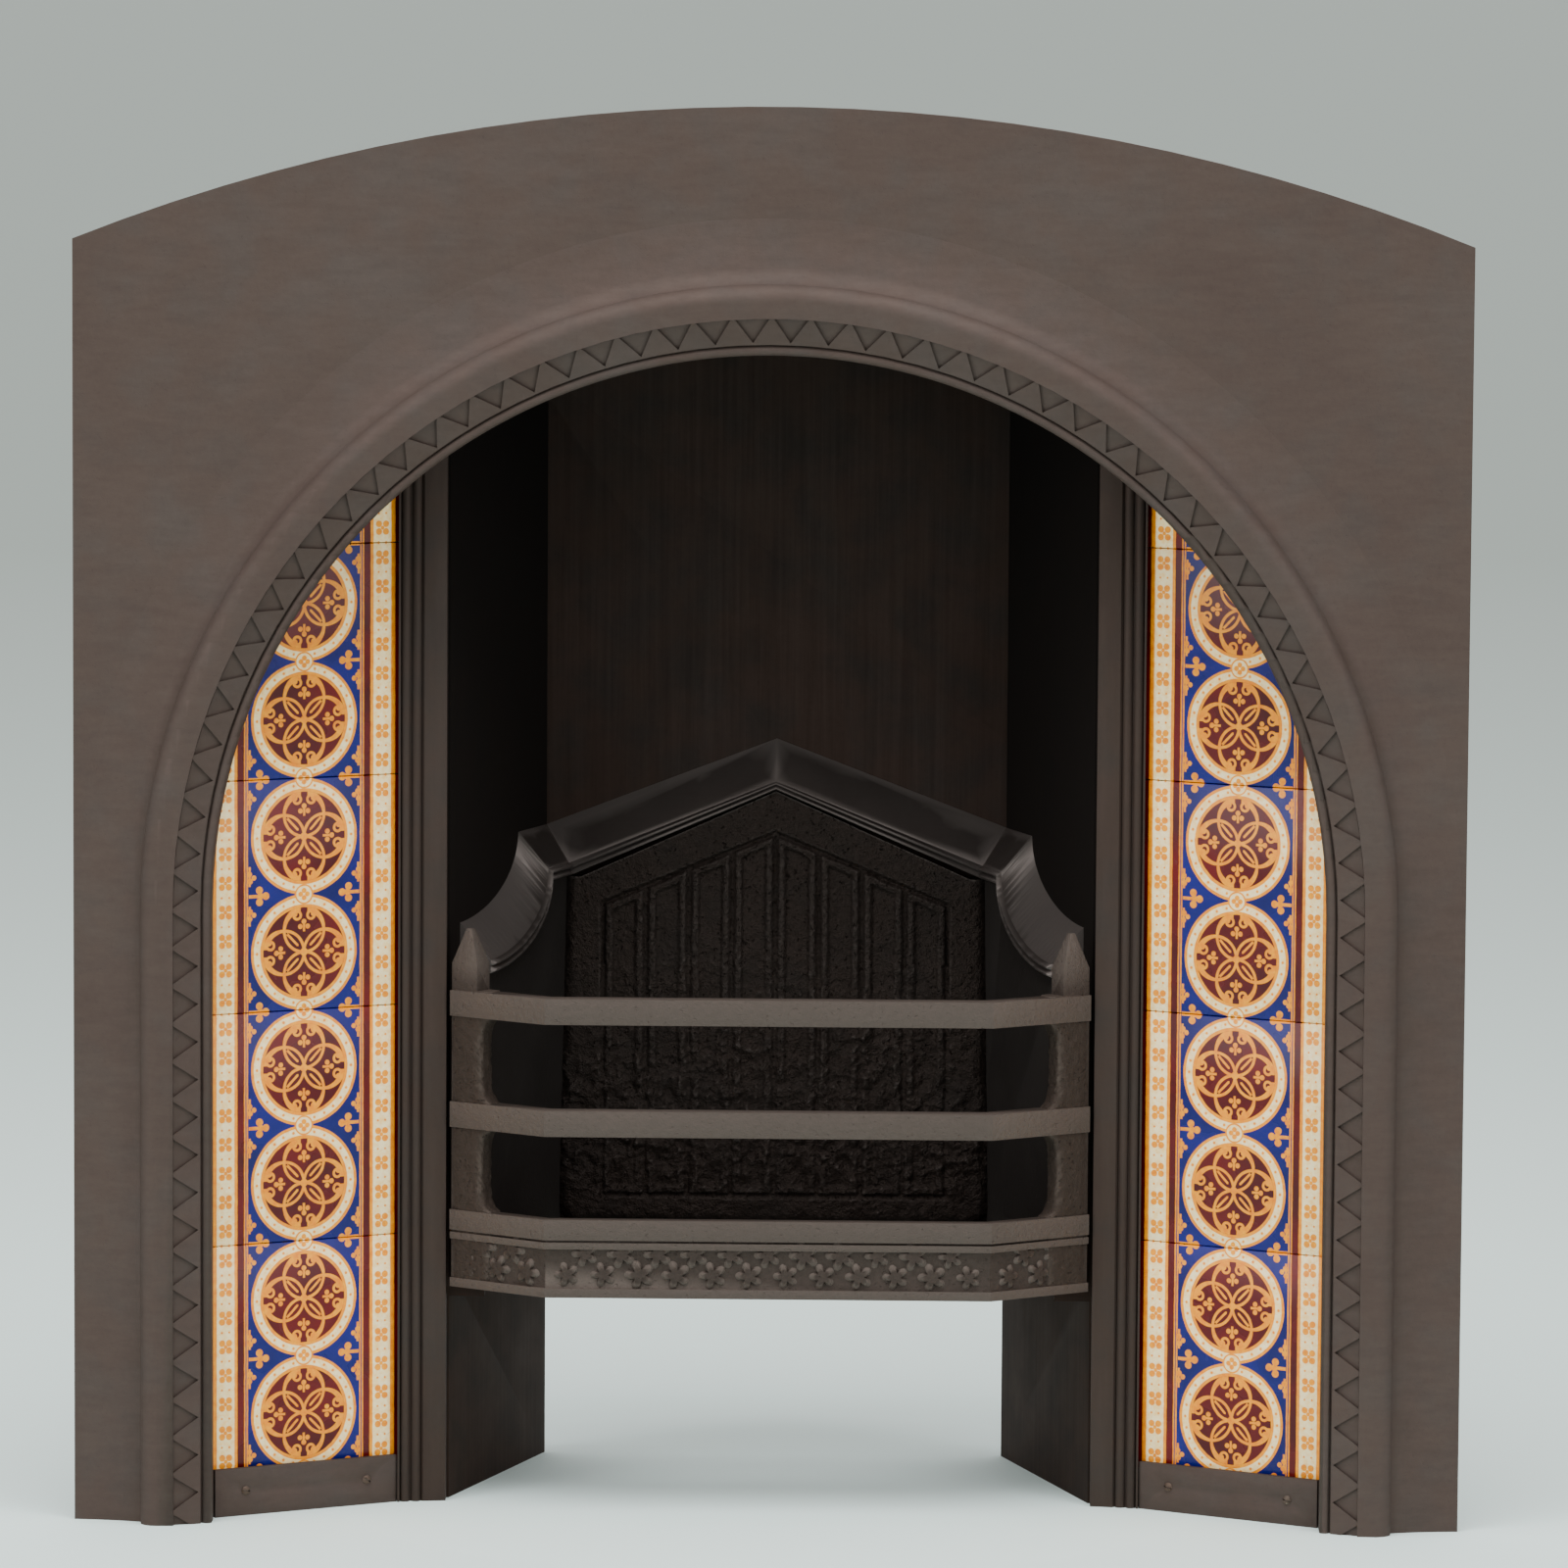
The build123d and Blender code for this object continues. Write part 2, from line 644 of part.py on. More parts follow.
def wing_section(side, inward, top, foot):
    """Side view of a swept moulding at one distance in from its cheek."""
    with BuildSketch(cheek_plane(side, inward)) as section:
        start = mitre_run(inward) + corner_gap
        with BuildLine():
            swept_edge(foot)
            swept_edge(top)
            Line((lining_front, sweep_end_height(foot)), (lining_front, sweep_end_height(top)))
            Polyline((sweep_start, foot), (start, foot), (start, top), (sweep_start, top))
        make_face()
    return section.sketch


for hand, side in hands.items():
    with BuildPart() as wing:
        nose_top = gable_eaves - cornice_drop_eaves
        loft([wing_section(side, fit_gap, gable_eaves, cornice_foot_eaves),
              wing_section(side, cornice_reach, nose_top, cornice_foot_eaves)], ruled=True)
        height = nose_top - cornice_foot_eaves
        for low, high in nose_beads:
            draw = (high - low) * bead_draw
            loft([wing_section(side, cornice_reach, cornice_foot_eaves + height * high,
                               cornice_foot_eaves + height * low),
                  wing_section(side, cornice_reach + nose_reach,
                               cornice_foot_eaves + height * (high - draw),
                               cornice_foot_eaves + height * (low + draw))], ruled=True)
    wing.part.label = f"{hand}_wing"
    export_step(wing.part, f"parts/{hand}_wing.step")

    with BuildPart() as lining:
        with BuildSketch(cheek_plane(side, 0.3)) as section:
            top = cornice_foot_eaves - 0.5
            with BuildLine():
                swept_edge(top)
                Polyline((lining_front, sweep_end_height(top)), (lining_front, bearer_top + fit_gap),
                         (1.0, bearer_top + fit_gap), (1.0, top), (sweep_start, top))
            make_face()
        extrude(section.sketch, amount=side * (lining_thickness - 0.3))
    lining.part.label = f"{hand}_lining"
    export_step(lining.part, f"parts/{hand}_lining.step")


# ------------------------------------------------------------------ bottom grate and front bars
grate_corners = [(141.6, 47.0), (186.3, 78.2), (141.8, 221.0)]
grate_slot_depths = (62.0, 208.0)

with BuildPart() as bottom_grate:
    slab(plan([(-x, d) for x, d in grate_corners] + grate_corners[::-1]), grate_foot,
         grate_foot + grate_thickness)
    fillet(bottom_grate.edges().filter_by(Axis.Z), 3)
    with BuildSketch(Plane.XY.offset(grate_foot)) as slots:
        for number in range(grate_slots):
            x = (number - (grate_slots - 1) / 2) * grate_slot_pitch
            with Locations((x, y_at(sum(grate_slot_depths) / 2))):
                SlotOverall(grate_slot_depths[1] - grate_slot_depths[0], grate_slot_width, rotation=90)
    extrude(slots.sketch, amount=grate_thickness, mode=Mode.SUBTRACT)
bottom_grate.part.label = "bottom_grate"
export_step(bottom_grate.part, "parts/bottom_grate.step")

cant_length = math.dist((bar_corner_x, bar_front), bar_end)
cant_turn = math.atan2(bar_end[1] - bar_front, bar_end[0] - bar_corner_x)


def cant_point(run, behind):
    """Plan point on the canted end of the bars: a run out from the corner, behind the face."""
    return along((bar_corner_x, bar_front), bar_end, run, behind)


def bar_outline(ahead, behind, trim=0.0):
    """Plan outline of a band that follows the front bars between two depths behind their face."""
    def half(offset):
        corner = (bar_corner_x - offset * math.tan(cant_turn / 2), bar_front + offset)
        return [corner, cant_point(cant_length - trim, offset)]
    near, far = half(ahead), half(behind)
    right = near + far[::-1]
    left = [(-x, depth) for x, depth in right][::-1]
    return plan(right + left)


def cant_plane(side):
    """Upright plane of a canted end, just behind the bars' face, x running out from the corner."""
    origin, ahead = cant_point(0, post_front), cant_point(1, post_front)
    run = Vector(side * (ahead[0] - origin[0]), ahead[1] - origin[1], 0)
    return Plane(origin=(side * origin[0], y_at(origin[1]), 0), x_dir=run, z_dir=Vector(run.Y, -run.X, 0))


band_foot = 182.5
bead_foot = 176.5
bead_top = 181.0
base_bead_top = 150.5
fret_depth = 10.0
post_front = 2.0
post_back = 14.0
post_flare = 8.0
block_half = 10.4
block_depths = (1.5, 15.0)
tip_half = 1.9

with BuildPart() as front_bars:
    slab(bar_outline(0, fret_depth), band_foot, fret_top)
    slab(bar_outline(3.2, fret_depth), fret_foot, band_foot)
    slab(bar_outline(0.4, fret_depth), bead_foot, bead_top)
    slab(bar_outline(0.4, fret_depth), fret_foot, base_bead_top)
    for foot, top in (middle_bar, top_bar):
        slab(bar_outline(0, bar_thickness), foot, top)
    for side in (-1, 1):
        with BuildSketch(cant_plane(side)) as post:
            with Locations((cant_length - (post_width + post_flare) / 2, (fret_foot + top_bar[1]) / 2)):
                Rectangle(post_width + post_flare, top_bar[1] - fret_foot)
            for foot, top in ((fret_top, middle_bar[0]), (middle_bar[1], top_bar[0])):
                with Locations((cant_length - post_width - 20, (foot + top) / 2)):
                    RectangleRounded(40, top - foot, post_flare - 0.5, mode=Mode.SUBTRACT)
        extrude(post.sketch, amount=-side * (post_back - post_front))
        middle = cant_length - post_width / 2
        corners = [cant_point(middle - block_half, block_depths[0]), cant_point(middle + block_half,
                                                                                block_depths[0]),
                   cant_point(middle + block_half, block_depths[1]), cant_point(middle - block_half,
                                                                                block_depths[1])]
        slab(plan(corners, side), top_bar[1] - 1, finial_foot)
        centre_depth = sum(block_depths) / 2
        tips = [cant_point(middle - tip_half, centre_depth - tip_half), cant_point(middle + tip_half,
                                                                                   centre_depth - tip_half),
                cant_point(middle + tip_half, centre_depth + tip_half), cant_point(middle - tip_half,
                                                                                   centre_depth + tip_half)]
        with BuildSketch(Plane.XY.offset(finial_foot)) as base:
            with BuildLine():
                Polyline(*plan(corners, side), close=True)
            make_face()
        with BuildSketch(Plane.XY.offset(finial_top)) as tip:
            with BuildLine():
                Polyline(*plan(tips, side), close=True)
            make_face()
        loft([base.sketch, tip.sketch], ruled=True)
        slab(plan([(190.0, 74.0), (203.0, 83.0), (203.0, 100.0), (190.0, 100.0)], side),
             lug_top + fit_gap, 160.0)
front_bars.part.label = "front_bars"
export_step(front_bars.part, "parts/front_bars.step")


# ------------------------------------------------------------------ register plate and damper
register_foot = chamber_top + fit_gap
register_top = register_foot + register_thickness
rim_top = register_top + flue_rim
rim_wall = 6.0
axis_depth = 250.0
axis_z = rim_top + 6.0
ear_x = (68.0, 75.0)
ear_half = 6.0
knuckle_x = (38.0, 66.0)
knuckle_radius = 6.2
flap_half = 157.0
flap_depths = (113.0, 238.5)
flap_thickness = 5.0
flap_gap = 0.3


def hinge_face(offset, radius, foot_depths, foot_z):
    """Round boss on the hinge axis with a web down or across to its plate, seen along x."""
    with BuildSketch(Plane.YZ.offset(offset)) as boss:
        with Locations((y_at(axis_depth), axis_z)):
            Circle(radius)
        with BuildLine():
            Polyline((y_at(foot_depths[0]), foot_z[0]), (y_at(foot_depths[1]), foot_z[0]),
                     (y_at(foot_depths[1]), foot_z[1]), (y_at(foot_depths[0]), foot_z[1]), close=True)
        make_face()
    return boss.sketch


with BuildPart() as register_plate:
    slab(plan([(-376, 6.8), (376, 6.8), (240, 104), (190, 271), (-190, 271), (-240, 104)]),
         register_foot, register_top)
    outer = [(-flue_half_width - rim_wall, flue_front - rim_wall), (flue_half_width + rim_wall,
                                                                    flue_front - rim_wall),
             (flue_half_width + rim_wall, flue_back + rim_wall), (-flue_half_width - rim_wall,
                                                                  flue_back + rim_wall)]
    slab(plan(outer), register_foot, rim_top)
    slab(plan([(-flue_half_width, flue_front), (flue_half_width, flue_front), (flue_half_width, flue_back),
               (-flue_half_width, flue_back)]), register_foot - 1, rim_top + 1, Mode.SUBTRACT)
    for side in (-1, 1):
        start = ear_x[0] if side > 0 else -ear_x[1]
        ear = hinge_face(start, ear_half, (axis_depth - ear_half, axis_depth + ear_half),
                         (register_top - 1, axis_z))
        extrude(ear, amount=ear_x[1] - ear_x[0])
    with BuildSketch(Plane.YZ.offset(-100)):
        with Locations((y_at(axis_depth), axis_z)):
            Circle(pin_radius + pin_clearance)
    extrude(amount=200, mode=Mode.SUBTRACT)
    with BuildSketch(Plane.XY.offset(register_top)):
        with Locations(*plan(register_bolt_spots, 1), *plan(register_bolt_spots, -1)):
            Circle(bolt_radius + bolt_clearance)
    extrude(amount=-register_thickness, mode=Mode.SUBTRACT)
register_plate.part.label = "register_plate"
export_step(register_plate.part, "parts/register_plate.step")

with BuildPart() as damper_flap:
    slab(plan([(-flap_half, flap_depths[0]), (flap_half, flap_depths[0]), (flap_half, flap_depths[1]),
               (-flap_half, flap_depths[1])]), rim_top + flap_gap, rim_top + flap_gap + flap_thickness)
    for side in (-1, 1):
        start = knuckle_x[0] if side > 0 else -knuckle_x[1]
        knuckle = hinge_face(start, knuckle_radius, (flap_depths[1] - 6, axis_depth),
                             (rim_top + flap_gap, rim_top + flap_gap + flap_thickness))
        extrude(knuckle, amount=knuckle_x[1] - knuckle_x[0])
    with BuildSketch(Plane.YZ.offset(-100)):
        with Locations((y_at(axis_depth), axis_z)):
            Circle(pin_radius + bolt_clearance)
    extrude(amount=200, mode=Mode.SUBTRACT)
    with BuildSketch(Plane.YZ.offset(-3)) as poker_lug:
        with Locations((y_at(145), rim_top - 12)):
            Circle(12)
            Circle(5, mode=Mode.SUBTRACT)
        with Locations((y_at(145), rim_top - 1)):
            Rectangle(24, 3.6)
    extrude(poker_lug.sketch, amount=6)
damper_flap.part.label = "damper_flap"
export_step(damper_flap.part, "parts/damper_flap.step")

with BuildPart() as damper_pin:
    with BuildSketch(Plane.YZ.offset(-ear_x[1] - 3)):
        with Locations((y_at(axis_depth), axis_z)):
            Circle(pin_radius)
    extrude(amount=2 * ear_x[1] + 6)
    with BuildSketch(Plane.YZ.offset(ear_x[1] + 0.2)):
        with Locations((y_at(axis_depth), axis_z)):
            Circle(pin_radius + 2)
    extrude(amount=3)
damper_pin.part.label = "damper_pin"
export_step(damper_pin.part, "parts/damper_pin.step")


# ------------------------------------------------------------------ fixing lugs and fasteners
bolt_head_radius = 5.2
bolt_head_height = 4.0
lug_plate = 4.0
lug_half_height = 15.0
lug_leg_x = (442.0, 446.0)
lug_leg_back = 40.0
lug_hole = (28.0, 4.0)
lip_back = frame_lip[1] + frame_thickness

for hand, side in hands.items():
    with BuildPart() as fixing_lug:
        slab(plan([(420, lip_back + fit_gap), (lug_leg_x[1], lip_back + fit_gap), (lug_leg_x[1],
                                                                                   lug_leg_back),
                   (lug_leg_x[0], lug_leg_back), (lug_leg_x[0], lip_back + fit_gap + lug_plate),
                   (420, lip_back + fit_gap + lug_plate)], side),
             lug_bolt[1] - lug_half_height, lug_bolt[1] + lug_half_height)
        with BuildSketch(upright(lip_back)):
            with Locations((side * lug_bolt[0], lug_bolt[1])):
                Circle(bolt_radius + bolt_clearance)
        extrude(amount=-2 * lug_plate, mode=Mode.SUBTRACT)
        with BuildSketch(Plane.YZ.offset(side * 440)):
            with Locations((y_at(lug_hole[0]), lug_bolt[1])):
                Circle(lug_hole[1])
        extrude(amount=side * 10, mode=Mode.SUBTRACT)
    fixing_lug.part.label = f"{hand}_fixing_lug"
    export_step(fixing_lug.part, f"parts/{hand}_fixing_lug.step")


def bolt_row(plane, points, shank, head):
    """Add hexagon-headed bolts on a plane: shanks one way, heads the other."""
    with BuildSketch(plane) as shanks:
        with Locations(*points):
            Circle(bolt_radius)
    extrude(shanks.sketch, amount=shank)
    with BuildSketch(plane) as heads:
        with Locations(*points):
            RegularPolygon(bolt_head_radius, 6)
    extrude(heads.sketch, amount=head)


with BuildPart() as frame_bolts:
    bolt_row(upright(lip_back + fit_gap), [(side * frame_bolt_x, z) for side in (-1,
            1) for z in frame_bolt_heights],
             10.0, -bolt_head_height)
frame_bolts.part.label = "frame_bolts"
export_step(frame_bolts.part, "parts/frame_bolts.step")

with BuildPart() as lug_bolts:
    bolt_row(upright(lip_back + lug_plate + 2 * fit_gap), [(side * lug_bolt[0],
                                                            lug_bolt[1]) for side in (-1, 1)],
             14.0, -bolt_head_height)
lug_bolts.part.label = "lug_bolts"
export_step(lug_bolts.part, "parts/lug_bolts.step")

with BuildPart() as stile_bolts:
    bolt_row(upright(frame_tail[1] + frame_thickness + fit_gap),
             [(side * stile_bolt_x, z) for side in (-1, 1) for z in stile_bolt_heights], 18.0,
             -bolt_head_height)
stile_bolts.part.label = "stile_bolts"
export_step(stile_bolts.part, "parts/stile_bolts.step")

panel_spots = [(side * panel_bolt_x, z) for side in (-1, 1) for z in panel_bolt_heights]
with BuildPart() as panel_bolts:
    bolt_row(upright(cheek_back[1] - flange_thickness - fit_gap), panel_spots, -18.0, bolt_head_height)
panel_bolts.part.label = "panel_bolts"
export_step(panel_bolts.part, "parts/panel_bolts.step")

with BuildPart() as panel_nuts:
    with BuildSketch(upright(back_depth + back_thickness + fit_gap)):
        with Locations(*panel_spots):
            RegularPolygon(bolt_head_radius, 6)
            Circle(bolt_radius + thread_gap, mode=Mode.SUBTRACT)
    extrude(amount=-bolt_head_height)
panel_nuts.part.label = "panel_nuts"
export_step(panel_nuts.part, "parts/panel_nuts.step")

with BuildPart() as register_bolts:
    bolt_row(Plane.XY.offset(register_top + fit_gap), plan(register_bolt_spots,
                                                           1) + plan(register_bolt_spots, -1),
             -12.0, bolt_head_height)
register_bolts.part.label = "register_bolts"
export_step(register_bolts.part, "parts/register_bolts.step")
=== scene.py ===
"""Visual model of an arched, tiled cast-iron register grate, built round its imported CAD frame."""

import logging
import math
from dataclasses import dataclass
from enum import Enum
from typing import Iterable, Optional, Sequence

import bmesh
import bpy
import numpy as np
from mathutils import Matrix, Vector, noise


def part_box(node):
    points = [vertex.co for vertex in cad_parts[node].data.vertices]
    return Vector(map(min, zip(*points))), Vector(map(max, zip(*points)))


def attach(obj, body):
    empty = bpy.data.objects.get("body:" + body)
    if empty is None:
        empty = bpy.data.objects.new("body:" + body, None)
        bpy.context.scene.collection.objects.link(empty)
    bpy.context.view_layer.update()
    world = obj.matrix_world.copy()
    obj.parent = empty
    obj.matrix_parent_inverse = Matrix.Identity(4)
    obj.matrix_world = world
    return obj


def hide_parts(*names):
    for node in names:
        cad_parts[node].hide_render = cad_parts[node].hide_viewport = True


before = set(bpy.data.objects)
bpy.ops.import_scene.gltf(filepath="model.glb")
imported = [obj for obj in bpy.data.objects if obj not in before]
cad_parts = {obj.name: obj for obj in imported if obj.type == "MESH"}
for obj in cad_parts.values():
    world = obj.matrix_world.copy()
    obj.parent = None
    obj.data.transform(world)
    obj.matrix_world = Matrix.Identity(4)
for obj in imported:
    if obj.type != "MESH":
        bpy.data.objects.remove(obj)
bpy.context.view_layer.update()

log = logging.getLogger("register_grate")
MM = 0.001
Colour = tuple[float, float, float]
Point = tuple[float, float, float]


class Body(Enum):
    """The rigid bodies of the frame that a piece can ride on."""

    CASING = "casing"
    BARS = "bars"
    GRATE = "grate"
    DAMPER = "damper"


class Facing(Enum):
    """Which way the heads of a set of fasteners look."""

    BACK = (0.0, 1.0, 0.0)
    FRONT = (0.0, -1.0, 0.0)
    UP = (0.0, 0.0, 1.0)


def linear(red: int, green: int, blue: int) -> Colour:
    """Turn a display colour of 0 to 255 into the linear values that a shader takes."""
    return tuple(((c / 255 + 0.055) / 1.055) ** 2.4 if c > 10 else c / 255 / 12.92 for c in (red, green, blue))


# ------------------------------------------------------------------ shader arithmetic
class Term:
    """A number carried by shader nodes, with ordinary arithmetic on it."""

    def __init__(self, tree: bpy.types.NodeTree, value) -> None:
        """Keep the tree and the socket, or plain number, that holds the value."""
        self.tree, self.value = tree, value

    def math(self, operation: str, *others) -> "Term":
        """Put a Math node behind this term.

        Args:
            operation: Blender's name for the operation.
            others: further operands, terms or numbers.

        Returns:
            The term that the node puts out.
        """
        node = self.tree.nodes.new("ShaderNodeMath")
        node.operation = operation
        for slot, operand in enumerate((self, *others)):
            value = operand.value if isinstance(operand, Term) else operand
            if isinstance(value, (int, float)):
                node.inputs[slot].default_value = value
            else:
                self.tree.links.new(value, node.inputs[slot])
        return Term(self.tree, node.outputs[0])

    def __add__(self, other) -> "Term":
        """Sum."""
        return self.math("ADD", other)

    def __sub__(self, other) -> "Term":
        """Difference."""
        return self.math("SUBTRACT", other)

    def __mul__(self, other) -> "Term":
        """Product."""
        return self.math("MULTIPLY", other)

    def __abs__(self) -> "Term":
        """Distance from nought."""
        return self.math("ABSOLUTE")

    def least(self, other) -> "Term":
        """Lower of two values: the union of two shapes given as distances."""
        return self.math("MINIMUM", other)

    def most(self, other) -> "Term":
        """Higher of two values: what two shapes given as distances share."""
        return self.math("MAXIMUM", other)

    def wrap(self, pitch: float) -> "Term":
        """Repeat every pitch, counted from minus half of it to plus half of it."""
        return self.math("WRAP", pitch / 2, -pitch / 2)

    def length(self, other) -> "Term":
        """Length of the vector whose parts are this and another."""
        return (self * self + other * other).math("SQRT")

    def inside(self, soft: float = 0.3) -> "Term":
        """Mask of 1 where a distance is below nought, with an edge this soft."""
        return (self * (-1.0 / soft) + 0.5).clamped()

    def clamped(self) -> "Term":
        """The value held between 0 and 1."""
        self.value.node.use_clamp = True
        return self


def disc(x: Term, y: Term, at: tuple[float, float], radius: float) -> Term:
    """Signed distance to a filled circle.

    Args:
        x: first coordinate.
        y: second coordinate.
        at: the circle's centre.
        radius: the circle's radius.

    Returns:
        Distance, negative inside.
    """
    return (x - at[0]).length(y - at[1]) - radius


def stem(x: Term, y: Term, ends: tuple[float, float], half: float) -> Term:
    """Signed distance to a bar along x between two ends, of a half width in y."""
    middle, reach = sum(ends) / 2, abs(ends[1] - ends[0]) / 2
    return (abs(x - middle) - reach).most(abs(y) - half)


def mixed(tree: bpy.types.NodeTree, mask, below, above) -> bpy.types.NodeSocket:
    """Lay one colour over another.

    Args:
        tree: the tree to build in.
        mask: term or socket, 1 where the upper colour shows.
        below: lower colour or its socket.
        above: upper colour or its socket.

    Returns:
        The mixed colour's socket.
    """
    node = tree.nodes.new("ShaderNodeMix")
    node.data_type = "RGBA"
    tree.links.new(mask.value if isinstance(mask, Term) else mask, node.inputs[0])
    for slot, colour in ((6, below), (7, above)):
        if isinstance(colour, tuple):
            node.inputs[slot].default_value = (*colour, 1.0)
        else:
            tree.links.new(colour, node.inputs[slot])
    return node.outputs[2]


def noise_term(tree: bpy.types.NodeTree, vector, scale: float, detail: float = 3.0,
               roughness: float = 0.55) -> Term:
    """Noise texture on a vector.

    Args:
        tree: the tree to build in.
        vector: socket of the coordinates.
        scale: cycles to the metre.
        detail: octaves.
        roughness: weight of each further octave.

    Returns:
        The noise, about 0 to 1.
    """
    node = tree.nodes.new("ShaderNodeTexNoise")
    node.inputs["Scale"].default_value = scale
    node.inputs["Detail"].default_value = detail
    node.inputs["Roughness"].default_value = roughness
    tree.links.new(vector, node.inputs["Vector"])
    return Term(tree, node.outputs[0])


def stepped(term: Term, low: float, high: float) -> Term:
    """Ramp from 0 at the low value to 1 at the high one, or the other way when low is above high."""
    return ((term - low) * (1.0 / (high - low))).clamped()


def new_group(name: str, inputs: dict[str, tuple[str, float]], outputs: dict[str, str]):
    """Start a shader node group.

    Args:
        name: the group's name.
        inputs: socket name to socket type and default value.
        outputs: socket name to socket type.

    Returns:
        The tree, its input sockets by name, and its output node.
    """
    tree = bpy.data.node_groups.new(name, "ShaderNodeTree")
    for label, (kind, default) in inputs.items():
        socket = tree.interface.new_socket(label, in_out="INPUT", socket_type=kind)
        if kind == "NodeSocketFloat":
            socket.default_value = default
    for label, kind in outputs.items():
        tree.interface.new_socket(label, in_out="OUTPUT", socket_type=kind)
    source, sink = tree.nodes.new("NodeGroupInput"), tree.nodes.new("NodeGroupOutput")
    return tree, source.outputs, sink


def casting_skin() -> bpy.types.NodeTree:
    """Group for sand-cast iron: mottling, brush marks, grain, pits and rust, as masks and a height."""
    tree, given, sink = new_group(
        "casting_skin",
        {"Vector": ("NodeSocketVector", 0), "Brush Vector": ("NodeSocketVector", 0),
         "Brushing": ("NodeSocketFloat", 0.5), "Grain": ("NodeSocketFloat", 0.5),
         "Pits": ("NodeSocketFloat", 0.3), "Rust": ("NodeSocketFloat", 0.2)},
        {"Tone": "NodeSocketFloat", "Rust Mask": "NodeSocketFloat", "Roughness": "NodeSocketFloat",
         "Height": "NodeSocketFloat"})
    vector = given["Vector"]
    clouds = noise_term(tree, vector, 7.0, 4.0)
    patches = noise_term(tree, vector, 34.0, 3.0)
    brushed = noise_term(tree, given["Brush Vector"], 1.0, 4.0, 0.65)
    grain = noise_term(tree, vector, 900.0, 2.0)
    lumps = noise_term(tree, vector, 260.0, 3.0)
    pits = stepped(noise_term(tree, vector, 420.0, 1.0), 0.34, 0.24)
    brushing, grains = Term(tree, given["Brushing"]), Term(tree, given["Grain"])
    pitting, rust = Term(tree, given["Pits"]), Term(tree, given["Rust"])
    tone = clouds * 0.55 + patches * 0.25 + (brushed - 0.5) * brushing * 0.75 + (lumps - 0.5) * grains * 0.7
    tone = (tone - pits * pitting * 0.5 + 0.08).clamped()
    stain = stepped(patches + clouds * 0.6, 1.02, 0.72) * rust
    rough = patches * 0.3 + grains * 0.2 - (brushed - 0.5) * brushing * 0.25 + stain * 0.4
    height = (brushed - 0.5) * brushing * 0.25 + (grain - 0.5) * grains * 0.5 + (lumps - 0.5) * grains
    height = height - pits * pitting
    for label, term in (("Tone", tone), ("Rust Mask", stain),
                        ("Roughness", rough), ("Height", height)):
        tree.links.new(term.value, sink.inputs[label])
    return tree


